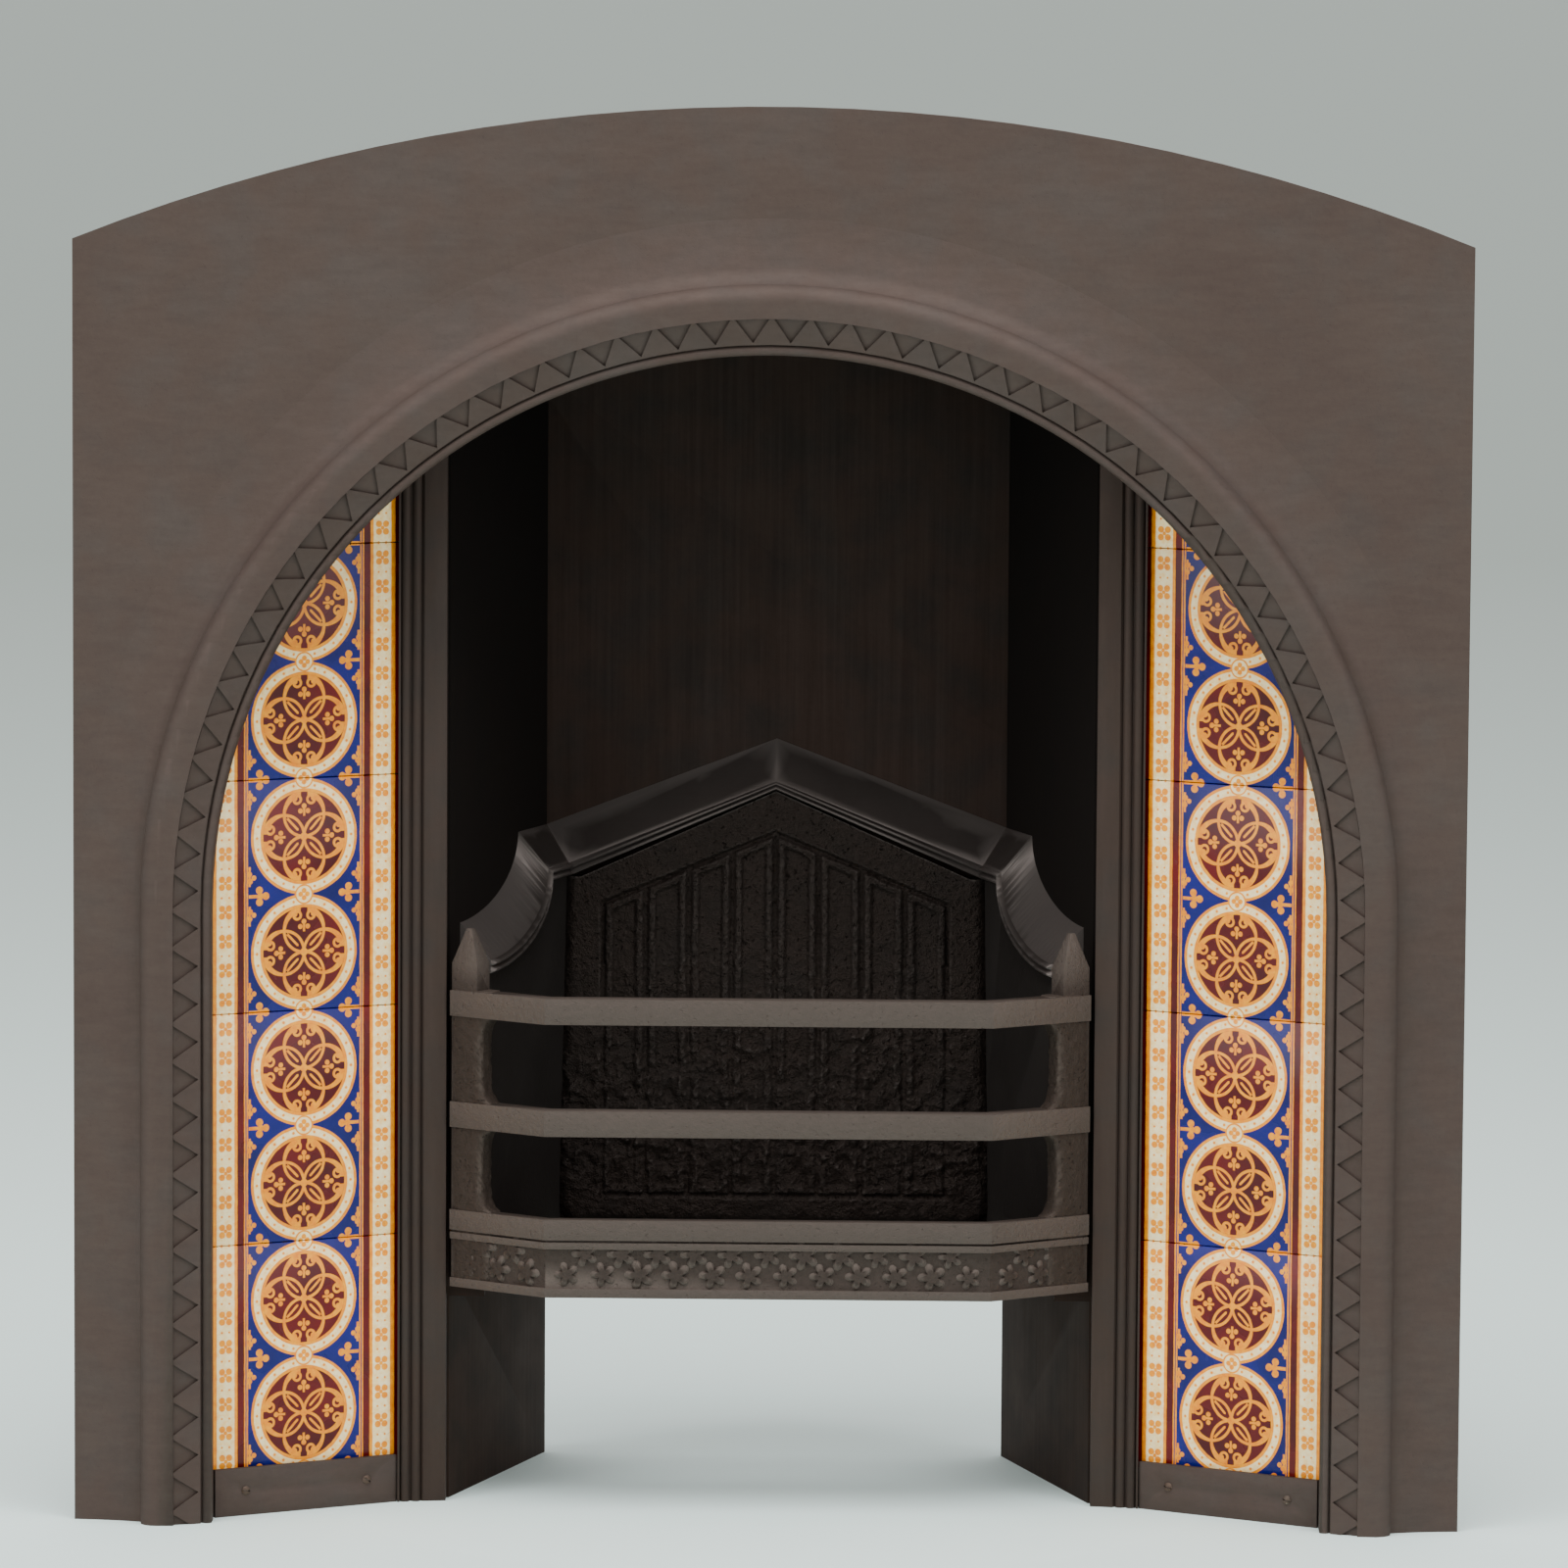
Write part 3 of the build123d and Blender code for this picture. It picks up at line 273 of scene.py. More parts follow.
@dataclass(frozen=True)
class PrintedTile:
    """Sizes of the printed hearth-tile pattern, in millimetres from the tile's middle line."""

    pitch: float = 152.9
    size: float = 152.4
    ring: float = 38.1
    disc: float = 29.4
    field: float = 40.5
    band: tuple[float, float] = (50.2, 63.0)
    motif: float = 19.05
    lobe: float = 14.3

    def rosette(self, x: Term, y: Term) -> Term:
        """Line work inside a ring: four lobes, their leaf scrolls and a fleur in each.

        Args:
            x: distance from the ring's centre across.
            y: distance from the ring's centre upwards.

        Returns:
            Signed distance to the line work.
        """
        a, b = abs(x), abs(y)
        far, near = a.most(b), a.least(b)
        swell = stepped(far, 15.0, 27.0) * 1.0 + 1.0
        lobes = abs((a - self.lobe).length(b) - self.lobe).least(abs(a.length(b - self.lobe) - self.lobe))
        lobes = (lobes - swell).most((near - 2.4).most(far * -1.0 + 24.6) * -1.0)
        hooks = abs(disc(far, near, (24.3, 5.0), 2.6)) - 0.9
        buds = disc(far, near, (25.2, 7.0), 2.1)
        fleur = disc(far, near, (20.0, 0.0), 1.75).least(disc(far, near, (16.8, 2.7), 1.7))
        fleur = fleur.least(stem(far, near, (13.5, 20.0), 0.8))
        leaves = stem(near, far - near, (4.0, 12.0), 1.2)
        heart = disc(far, near, (0.0, 0.0), 2.6)
        return lobes.least(hooks).least(buds).least(fleur).least(leaves).least(heart)

    def trefoil(self, x: Term, y: Term) -> Term:
        """Three-lobed leaf in the blue spandrels between the rings, with half leaves at its sides."""
        across, up = abs(x), abs(y)
        leaf = disc(across, up, (27.6, 0.0), 2.5).least(disc(across, up, (32.2, 3.9), 2.5))
        leaf = leaf.least(stem(across, up, (27.0, 40.0), 1.1)).least(disc(across, up, (31.5, 0.0), 2.2))
        side = disc(across, up, (39.0, 10.0), 2.0).least(disc(across, up, (36.2, 12.2), 1.7))
        return leaf.least(side).least(disc(across, up, (39.4, 14.6), 1.9)).least(
            (abs(across - 39.3) - 0.8).most(abs(up - 13.0) - 6.5))

    def group(self) -> bpy.types.NodeTree:
        """Build the node group that colours the glaze from the distances across and up a tile."""
        tree, given, sink = new_group(
            "printed_tile", {"Across": ("NodeSocketFloat", 0), "Up": ("NodeSocketFloat", 0),
                             "Vector": ("NodeSocketVector", 0)},
            {"Color": "NodeSocketColor", "Height": "NodeSocketFloat", "Roughness": "NodeSocketFloat"})
        vector = given["Vector"]
        drift = noise_term(tree, vector, 140.0, 2.0)
        x = Term(tree, given["Across"]) + (drift - 0.5) * 0.5
        up = Term(tree, given["Up"])
        local = up.math("WRAP", self.pitch, 0.0) + (drift - 0.5) * 0.4
        ring_y = (local - self.ring).wrap(self.size / 2)
        gap_y = local.wrap(self.size / 2)
        side = abs(x)
        radius = x.length(ring_y)
        worn = noise_term(tree, vector, 260.0, 3.0)
        clouds = noise_term(tree, vector, 26.0, 3.0)
        red = mixed(tree, stepped(clouds, 0.35, 0.65), linear(66, 0, 4), linear(98, 4, 8))
        blue = mixed(tree, stepped(clouds, 0.35, 0.65), linear(6, 8, 84), linear(14, 18, 112))
        gold = mixed(tree, stepped(worn, 0.3, 0.7), linear(232, 126, 0), linear(248, 160, 0))
        cream = mixed(tree, stepped(worn, 0.3, 0.6), linear(252, 208, 132), linear(255, 232, 182))
        paint = mixed(tree, (side - self.field).inside(), gold, blue)
        paint = mixed(tree, self.trefoil(x, gap_y).most(side - self.field).inside(), paint, gold)
        angle = ring_y.math("ARCTAN2", x) * (28 / math.tau)
        beads = (abs(angle.wrap(1.0)) * (math.tau * 34.0 / 28)).length(radius - 34.0) - 0.95
        for edge, colour in ((self.ring + 0.1, gold), (36.3, cream), (31.6, gold), (self.disc, red)):
            paint = mixed(tree, (radius - edge).inside(), paint, colour)
        paint = mixed(tree, beads.inside(0.5), paint, gold)
        paint = mixed(tree, self.rosette(x, ring_y).most(radius - self.disc).inside(), paint, gold)
        knot = x.length(gap_y)
        knots = ((6.6, gold), (5.5, cream))
        for edge, colour in knots:
            paint = mixed(tree, (knot - edge).inside(), paint, colour)
        petals = disc(abs(x).most(abs(gap_y)), abs(x).least(abs(gap_y)), (2.4, 0.0), 1.7)
        paint = mixed(tree, petals.inside(), paint, gold)
        for start, colour in ((self.field, gold), (43.3, red), (48.0, gold), (self.band[0], cream),
                              (self.band[1], gold), (66.0, red)):
            paint = mixed(tree, (side * -1.0 + start).inside(), paint, colour)
        thin = (abs(side - 41.9) - 0.35).inside()
        paint = mixed(tree, thin, paint, blue)
        band_x, band_y = abs(side - 56.6), abs((local - self.motif / 2).wrap(self.motif))
        cross = disc(band_x, band_y, (2.5, 2.5), 2.2).least(disc(band_x, band_y, (0.0, 0.0), 1.3))
        dots = disc(band_x, abs(band_y - self.motif / 2), (2.7, 0.0), 0.75)
        paint = mixed(tree, cross.least(dots).inside(), paint, gold)
        cells = tree.nodes.new("ShaderNodeTexVoronoi")
        cells.feature = "DISTANCE_TO_EDGE"
        cells.inputs["Scale"].default_value = 190.0
        tree.links.new(vector, cells.inputs["Vector"])
        craze = stepped(Term(tree, cells.outputs[0]), 0.018, 0.0) * stepped(clouds, 0.45, 0.62)
        paint = mixed(tree, craze * 0.22, paint, linear(90, 60, 40))
        edge = (side - self.size / 2 + 0.2).most(abs(local - self.size / 2) - self.size / 2 + 0.2)
        chips = (edge + (worn - 0.66) * 9.0).inside(0.8) * -1.0 + 1.0
        paint = mixed(tree, chips, paint, linear(58, 38, 28))
        tree.links.new(paint, sink.inputs["Color"])
        tree.links.new((craze * -0.3 - chips + clouds * 0.4).value, sink.inputs["Height"])
        tree.links.new((chips * 0.5 + clouds * 0.15 + 0.2).value, sink.inputs["Roughness"])
        return tree


SKIN = casting_skin()
TILE_PATTERN = PrintedTile()
TILE_PRINT = TILE_PATTERN.group()


def start_material(name: str):
    """Start a material with its Principled shader.

    Args:
        name: the material's name.

    Returns:
        The material, its tree, its Principled node and its Object coordinates.
    """
    material = bpy.data.materials.new(name)
    material.use_nodes = True
    tree = material.node_tree
    shader = tree.nodes["Principled BSDF"]
    place = tree.nodes.new("ShaderNodeTexCoord")
    return material, tree, shader, place.outputs["Object"]


def add_bump(tree, shader, height, distance: float, strength: float = 1.0) -> None:
    """Feed a height to the shader's normal through a Bump node.

    Args:
        tree: the material's tree.
        shader: its Principled node.
        height: socket of the height.
        distance: depth of the relief in metres.
        strength: how much of it shows.
    """
    bump = tree.nodes.new("ShaderNodeBump")
    bump.inputs["Strength"].default_value = strength
    bump.inputs["Distance"].default_value = distance
    tree.links.new(height, bump.inputs["Height"])
    tree.links.new(bump.outputs[0], shader.inputs["Normal"])


@dataclass(frozen=True)
class IronFinish:
    """One state of cast iron, from hand-burnished to burnt."""

    name: str
    dark: Colour
    light: Colour
    rust_colour: Colour = (0.09, 0.032, 0.012)
    roughness: float = 0.42
    metallic: float = 0.55
    brush: Point = (6.0, 6.0, 700.0)
    brushing: float = 0.6
    grain: float = 0.35
    pits: float = 0.2
    rust: float = 0.1
    relief: float = 0.00012
    edge: float = 0.5
    shine: float = 0.4
    soot: Optional[tuple[float, float]] = None

    def material(self) -> bpy.types.Material:
        """Build the material."""
        material, tree, shader, place = start_material(self.name)
        skin = tree.nodes.new("ShaderNodeGroup")
        skin.node_tree = SKIN
        stretch = tree.nodes.new("ShaderNodeMapping")
        stretch.inputs["Scale"].default_value = self.brush
        tree.links.new(place, stretch.inputs["Vector"])
        tree.links.new(stretch.outputs[0], skin.inputs["Brush Vector"])
        tree.links.new(place, skin.inputs["Vector"])
        for label, value in (("Brushing", self.brushing), ("Grain", self.grain), ("Pits", self.pits),
                             ("Rust", self.rust)):
            skin.inputs[label].default_value = value
        colour = mixed(tree, skin.outputs["Tone"], self.dark, self.light)
        colour = mixed(tree, skin.outputs["Rust Mask"], colour, self.rust_colour)
        geometry = tree.nodes.new("ShaderNodeNewGeometry")
        worn = stepped(Term(tree, geometry.outputs["Pointiness"]), 0.515, 0.56) * self.edge
        colour = mixed(tree, worn, colour, tuple(min(1.0, c * 1.7 + 0.02) for c in self.light))
        rough = Term(tree, skin.outputs["Roughness"]) + self.roughness - worn * 0.12
        if self.soot:
            axes = tree.nodes.new("ShaderNodeSeparateXYZ")
            tree.links.new(place, axes.inputs[0])
            cloud = noise_term(tree, place, 12.0)
            height = Term(tree, axes.outputs[2]) + (cloud - 0.5) * 0.05
            mask = stepped(height, self.soot[0], self.soot[1]) * 0.92
            colour = mixed(tree, mask, colour, (0.0035, 0.003, 0.0028))
            rough = rough + mask * 0.25
        tree.links.new(colour, shader.inputs["Base Color"])
        tree.links.new(rough.value, shader.inputs["Roughness"])
        shader.inputs["Metallic"].default_value = self.metallic
        shader.inputs["Specular Tint"].default_value = (1.0, 0.86, 0.8, 1.0)
        shader.inputs["Specular IOR Level"].default_value = self.shine
        add_bump(tree, shader, skin.outputs["Height"], self.relief)
        return material


@dataclass(frozen=True)
class TileFinish:
    """Printed and glazed earthenware on one of the two splayed panels."""

    name: str
    middle: Point
    across: Point
    foot: float

    def material(self) -> bpy.types.Material:
        """Build the material, whose pattern is laid along the panel."""
        material, tree, shader, place = start_material(self.name)
        along = tree.nodes.new("ShaderNodeVectorMath")
        along.operation = "DOT_PRODUCT"
        along.inputs[1].default_value = self.across
        tree.links.new(place, along.inputs[0])
        axes = tree.nodes.new("ShaderNodeSeparateXYZ")
        tree.links.new(place, axes.inputs[0])
        start = sum(a * b for a, b in zip(self.middle, self.across))
        pattern = tree.nodes.new("ShaderNodeGroup")
        pattern.node_tree = TILE_PRINT
        across = (Term(tree, along.outputs["Value"]) - start) * 1000.0
        up = (Term(tree, axes.outputs[2]) - self.foot) * 1000.0
        tree.links.new(across.value, pattern.inputs["Across"])
        tree.links.new(up.value, pattern.inputs["Up"])
        tree.links.new(place, pattern.inputs["Vector"])
        tree.links.new(pattern.outputs["Color"], shader.inputs["Base Color"])
        tree.links.new(pattern.outputs["Roughness"], shader.inputs["Roughness"])
        shader.inputs["Specular IOR Level"].default_value = 0.25
        shader.inputs["Coat Weight"].default_value = 0.06
        shader.inputs["Coat Roughness"].default_value = 0.12
        add_bump(tree, shader, pattern.outputs["Height"], 0.00018)
        return material


PLATE_IRON = IronFinish("plate_iron", (0.034, 0.026, 0.0228), (0.072, 0.056, 0.049), brush=(40.0, 60.0, 160.0),
                        metallic=0.3, edge=0.0, grain=0.45, relief=0.00018)
STILE_IRON = IronFinish("stile_iron", (0.017, 0.0125, 0.0105), (0.040, 0.0305, 0.026), brush=(120.0, 120.0, 9.0),
                        metallic=0.3, edge=0.0)
BAR_IRON = IronFinish("bar_iron", (0.020, 0.0145, 0.012), (0.055, 0.0425, 0.035), grain=1.0, pits=0.5, brushing=0.3,
                      brush=(20.0, 20.0, 500.0), relief=0.0007, roughness=0.36, edge=0.6, metallic=0.4, rust=0.0)
POST_IRON = IronFinish("post_iron", (0.019, 0.0135, 0.0105), (0.05, 0.037, 0.029), grain=1.0, pits=0.8, rust=0.0,
                       brushing=0.1, relief=0.0009, roughness=0.4, edge=0.5, metallic=0.4)
BACK_IRON = IronFinish("back_iron", (0.04, 0.033, 0.029), (0.085, 0.071, 0.062), grain=0.9, pits=0.6, rust=0.45,
                       brushing=0.1, relief=0.0004, roughness=0.55)
WALL_IRON = IronFinish("wall_iron", (0.009, 0.0065, 0.0055), (0.03, 0.0225, 0.0195), brush=(330.0, 330.0, 7.0),
                       brushing=0.9, roughness=0.55, metallic=0.25, shine=0.25, edge=0.0)
CHEEK_IRON = IronFinish("cheek_iron", (0.008, 0.0058, 0.0048), (0.021, 0.016, 0.0135), brush=(300.0, 300.0, 7.0),
                        brushing=0.6, soot=(0.13, 0.24), rust=0.1, edge=0.0, metallic=0.25, shine=0.2,
                        roughness=0.55)
SOOT_IRON = IronFinish("soot_iron", (0.005, 0.0042, 0.0038), (0.015, 0.0125, 0.011), grain=0.6, brushing=0.1,
                       roughness=0.55, relief=0.0003, rust=0.0, edge=0.3)
CORNICE_IRON = IronFinish("cornice_iron", (0.026, 0.021, 0.019), (0.056, 0.047, 0.043), grain=0.3, brushing=0.2,
                          roughness=0.34, rust=0.0, edge=0.9)
FIREBACK_IRON = IronFinish("fireback_iron", (0.003, 0.0024, 0.002), (0.022, 0.017, 0.0145), grain=1.0, pits=0.9,
                           brushing=0.0, roughness=0.22, rust=0.03, relief=0.0016, edge=0.6, metallic=0.6)
GRATE_IRON = IronFinish("grate_iron", (0.012, 0.0095, 0.008), (0.045, 0.035, 0.028), grain=1.0, pits=0.8, rust=0.4,
                        brushing=0.0, relief=0.0005, roughness=0.5)
SCREW_STEEL = IronFinish("screw_steel", (0.05, 0.04, 0.034), (0.17, 0.14, 0.115), grain=0.5, pits=0.4, rust=0.3,
                         metallic=0.8, roughness=0.35)
BOLT_STEEL = IronFinish("bolt_steel", (0.07, 0.06, 0.053), (0.14, 0.12, 0.1), grain=0.7, rust=0.5, metallic=0.7)


# ------------------------------------------------------------------ meshes
def cad_points(node: str) -> np.ndarray:
    """Every vertex of a CAD node as rows of x, y, z in metres."""
    return np.array([v.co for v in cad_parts[node].data.vertices], float).reshape(-1, 3)


def merged_copy(node: str, flatten: bool = True) -> bmesh.types.BMesh:
    """Copy a CAD node's triangles, merge their corners and flatten what is level.

    Args:
        node: the CAD node's name.
        flatten: whether level triangles become one face; not for faces that go round another.

    Returns:
        A new bmesh of the closed shape.
    """
    shape = bmesh.new()
    shape.from_mesh(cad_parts[node].data)
    bmesh.ops.remove_doubles(shape, verts=shape.verts, dist=2e-6)
    if flatten:
        bmesh.ops.dissolve_limit(shape, angle_limit=math.radians(0.4), verts=shape.verts, edges=shape.edges)
    return shape


def islands(node: str) -> list[np.ndarray]:
    """Split a CAD node into its separate solids.

    Args:
        node: the CAD node's name.

    Returns:
        The vertices of each solid.
    """
    shape = merged_copy(node)
    left, found = set(shape.verts), []
    while left:
        reach, island = [left.pop()], []
        while reach:
            vert = reach.pop()
            island.append(tuple(vert.co))
            for edge in vert.link_edges:
                other = edge.other_vert(vert)
                if other in left:
                    left.remove(other)
                    reach.append(other)
        found.append(np.array(island))
    shape.free()
    return sorted(found, key=lambda points: tuple(points.mean(0).round(4)))


def finished(name: str, shape: bmesh.types.BMesh, body: Body, material: bpy.types.Material,
             nodes: Sequence[str] = (), sharp: float = 32.0) -> bpy.types.Object:
    """Turn a bmesh into a piece of the model.

    Args:
        name: the piece's name.
        shape: its mesh, which is used up.
        body: the body that it rides on.
        material: its finish.
        nodes: CAD nodes that it stands for.
        sharp: angle in degrees from which an edge stays sharp.

    Returns:
        The piece.
    """
    mesh = bpy.data.meshes.new(name)
    shape.to_mesh(mesh)
    shape.free()
    mesh.shade_smooth()
    mesh.set_sharp_from_angle(angle=math.radians(sharp))
    mesh.materials.clear()
    mesh.materials.append(material)
    piece = bpy.data.objects.new(name, mesh)
    bpy.context.scene.collection.objects.link(piece)
    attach(piece, body.value)
    if nodes:
        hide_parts(*nodes)
    log.info("%s: %d faces on %s", name, len(mesh.polygons), body.value)
    return piece


def softened(name: str, node: str, width: float, body: Body, material: bpy.types.Material,
             segments: int = 2, angle: float = 28.0) -> bpy.types.Object:
    """Stand in for a CAD node with a copy whose sharp edges are rounded, as a casting's are.

    Args:
        name: the piece's name.
        node: the CAD node.
        width: how far each edge is rounded, in millimetres.
        body: the body that it rides on.
        material: its finish.
        segments: facets across each rounded edge.
        angle: turn in degrees from which an edge is rounded.

    Returns:
        The piece.
    """
    shape = merged_copy(node)
    edges = [e for e in shape.edges if len(e.link_faces) == 2 and e.calc_face_angle(0.0) > math.radians(angle)]
    bmesh.ops.bevel(shape, geom=edges, offset=width * MM, segments=segments, profile=0.5, affect="EDGES",
                    clamp_overlap=True)
    return finished(name, shape, body, material, (node,))


def dressed(nodes: Iterable[str], slot: str, material: bpy.types.Material) -> None:
    """Give CAD nodes whose shape stays their finish.

    Args:
        nodes: the nodes' names.
        slot: a label for the finish, written only to the log.
        material: the finish.
    """
    for node in nodes:
        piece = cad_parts[node]
        piece.data.materials.clear()
        piece.data.materials.append(material)
        log.info("%s keeps its CAD shape (%s)", node, slot)


# ------------------------------------------------------------------ geometry nodes
class NodeTreeMaker:
    """A Geometry Nodes tree with named inputs, built step by step."""

    def __init__(self, name: str, inputs: dict[str, tuple[str, object]]) -> None:
        """Start the tree.

        Args:
            name: the tree's name.
            inputs: socket name to socket type and default value.
        """
        self.tree = bpy.data.node_groups.new(name, "GeometryNodeTree")
        self.tree.interface.new_socket("Geometry", in_out="INPUT", socket_type="NodeSocketGeometry")
        self.keys = {}
        for label, (kind, value) in inputs.items():
            socket = self.tree.interface.new_socket(label, in_out="INPUT", socket_type=kind)
            socket.default_value = value
            self.keys[label] = socket.identifier
        self.tree.interface.new_socket("Geometry", in_out="OUTPUT", socket_type="NodeSocketGeometry")
        self.given = self.tree.nodes.new("NodeGroupInput").outputs
        self.sink = self.tree.nodes.new("NodeGroupOutput")

    def add(self, kind: str, links: Optional[dict] = None, **settings):
        """Add a node.

        Args:
            kind: the node's type without its family prefix, or in full.
            links: input name or number to a socket or a plain value.
            settings: properties of the node.

        Returns:
            The node.
        """
        full = kind if kind.startswith(("Geometry", "Shader", "Function")) else "GeometryNode" + kind
        node = self.tree.nodes.new(full)
        for label, value in settings.items():
            setattr(node, label, value)
        for key, value in (links or {}).items():
            if isinstance(value, bpy.types.NodeSocket):
                self.tree.links.new(value, node.inputs[key])
            else:
                node.inputs[key].default_value = value
        return node

    def calc(self, operation: str, a, b=0.0):
        """Add a Math node and return its output socket."""
        node = self.add("ShaderNodeMath", {0: a, 1: b}, operation=operation)
        return node.outputs[0]

    def close(self, geometry, material: bpy.types.Material) -> None:
        """End the tree by realizing its instances and setting its material."""
        real = self.add("RealizeInstances", {0: geometry})
        dressed_up = self.add("SetMaterial", {"Geometry": real.outputs[0], "Material": material})
        self.tree.links.new(dressed_up.outputs[0], self.sink.inputs[0])

    def aimed(self) -> bpy.types.NodeSocket:
        """Rotation that turns +Z to each point's facing direction."""
        facing = self.add("InputNamedAttribute", {"Name": "facing"}, data_type="FLOAT_VECTOR")
        return self.add("FunctionNodeAlignRotationToVector", {"Vector": facing.outputs[0]}, axis="Z").outputs[0]

    def baked(self, points: Sequence[Point], facing: Sequence[Point], values: dict[str, object]) -> bmesh.types.BMesh:
        """Run the tree on a set of points and return plain mesh.

        Args:
            points: where the instances go.
            facing: the direction that each one looks in.
            values: input name to value.

        Returns:
            The evaluated mesh as a bmesh.
        """
        mesh = bpy.data.meshes.new("seats")
        mesh.from_pydata([tuple(p) for p in points], [], [])
        layer = mesh.attributes.new("facing", "FLOAT_VECTOR", "POINT")
        layer.data.foreach_set("vector", [c for f in facing for c in f])
        holder = bpy.data.objects.new("seats", mesh)
        bpy.context.scene.collection.objects.link(holder)
        modifier = holder.modifiers.new("nodes", "NODES")
        modifier.node_group = self.tree
        for label, value in values.items():
            modifier[self.keys[label]] = value
        holder.update_tag()
        bpy.context.view_layer.update()
        graph = bpy.context.evaluated_depsgraph_get()
        result = bpy.data.meshes.new_from_object(holder.evaluated_get(graph))
        holder.modifiers.clear()
        shape = bmesh.new()
        shape.from_mesh(result)
        bpy.data.objects.remove(holder)
        bpy.data.meshes.remove(result)
        return shape


def fastener_tree(material: bpy.types.Material, slotted: bool) -> NodeTreeMaker:
    """Tree that puts a screw or a hexagon bolt at each point, head outwards.

    Args:
        material: the finish of the fasteners.
        slotted: a domed head with a slot, where otherwise it is a chamfered hexagon.

    Returns:
        The tree.
    """
    maker = NodeTreeMaker("slotted_screws" if slotted else "hexagon_bolts", {
        "Head Radius": ("NodeSocketFloat", 0.003), "Head Height": ("NodeSocketFloat", 0.002),
        "Shank Radius": ("NodeSocketFloat", 0.002), "Shank Length": ("NodeSocketFloat", 0.01),
        "Slot Width": ("NodeSocketFloat", 0.0009), "Turn Seed": ("NodeSocketInt", 7)})
    g = maker.given
    up = maker.add("ShaderNodeCombineXYZ", {2: maker.calc("MULTIPLY", g["Shank Length"], -0.5)})
    shank = maker.add("MeshCylinder", {"Vertices": 20, "Radius": g["Shank Radius"], "Depth": g["Shank Length"]})
    shank = maker.add("Transform", {"Geometry": shank.outputs[0], "Translation": up.outputs[0]})
    if slotted:
        ball = maker.add("MeshUVSphere", {"Segments": 40, "Rings": 24, "Radius": g["Head Radius"]})
        flat = maker.add("ShaderNodeCombineXYZ", {0: 1.0, 1: 1.0, 2: maker.calc(
            "DIVIDE", g["Head Height"], g["Head Radius"])})
        head = maker.add("Transform", {"Geometry": ball.outputs[0], "Scale": flat.outputs[0]})
        size = maker.add("ShaderNodeCombineXYZ", {0: maker.calc("MULTIPLY", g["Head Radius"], 3.0),
                                                  1: g["Slot Width"], 2: g["Head Height"]})
        bar = maker.add("MeshCube", {"Size": size.outputs[0]})
        lift = maker.add("ShaderNodeCombineXYZ", {2: maker.calc("MULTIPLY", g["Head Height"], 1.0)})
        bar = maker.add("Transform", {"Geometry": bar.outputs[0], "Translation": lift.outputs[0]})
        head = maker.add("MeshBoolean", {0: head.outputs[0], 1: bar.outputs[0]}, operation="DIFFERENCE")
    else:
        hexagon = maker.add("MeshCone", {"Vertices": 6, "Radius Top": maker.calc("MULTIPLY", g["Head Radius"], 0.93),
                                         "Radius Bottom": g["Head Radius"], "Depth": g["Head Height"]})
        washer = maker.add("MeshCylinder", {"Vertices": 28, "Radius": maker.calc(
            "MULTIPLY", g["Head Radius"], 0.97), "Depth": maker.calc("MULTIPLY", g["Head Height"], 0.2)})
        seat = maker.add("ShaderNodeCombineXYZ", {2: maker.calc("MULTIPLY", g["Head Height"], 0.1)})
        washer = maker.add("Transform", {"Geometry": washer.outputs[0], "Translation": seat.outputs[0]})
        head = maker.add("JoinGeometry")
        for part in (hexagon, washer):
            maker.tree.links.new(part.outputs[0], head.inputs[0])
    whole = maker.add("JoinGeometry")
    for part in (shank, head):
        maker.tree.links.new(part.outputs[0], whole.inputs[0])
    turn = maker.add("FunctionNodeRandomValue", {2: -0.9, 3: 0.9, "Seed": g["Turn Seed"]}, data_type="FLOAT")
    spin = maker.add("ShaderNodeCombineXYZ", {2: turn.outputs[1]})
    spun = maker.add("FunctionNodeRotateRotation", {0: maker.aimed(), 1: spin.outputs[0]}, rotation_space="LOCAL")
    placed = maker.add("InstanceOnPoints", {"Points": g["Geometry"], "Instance": whole.outputs[0],
                                            "Rotation": spun.outputs[0]})
    maker.close(placed.outputs[0], material)
    return maker


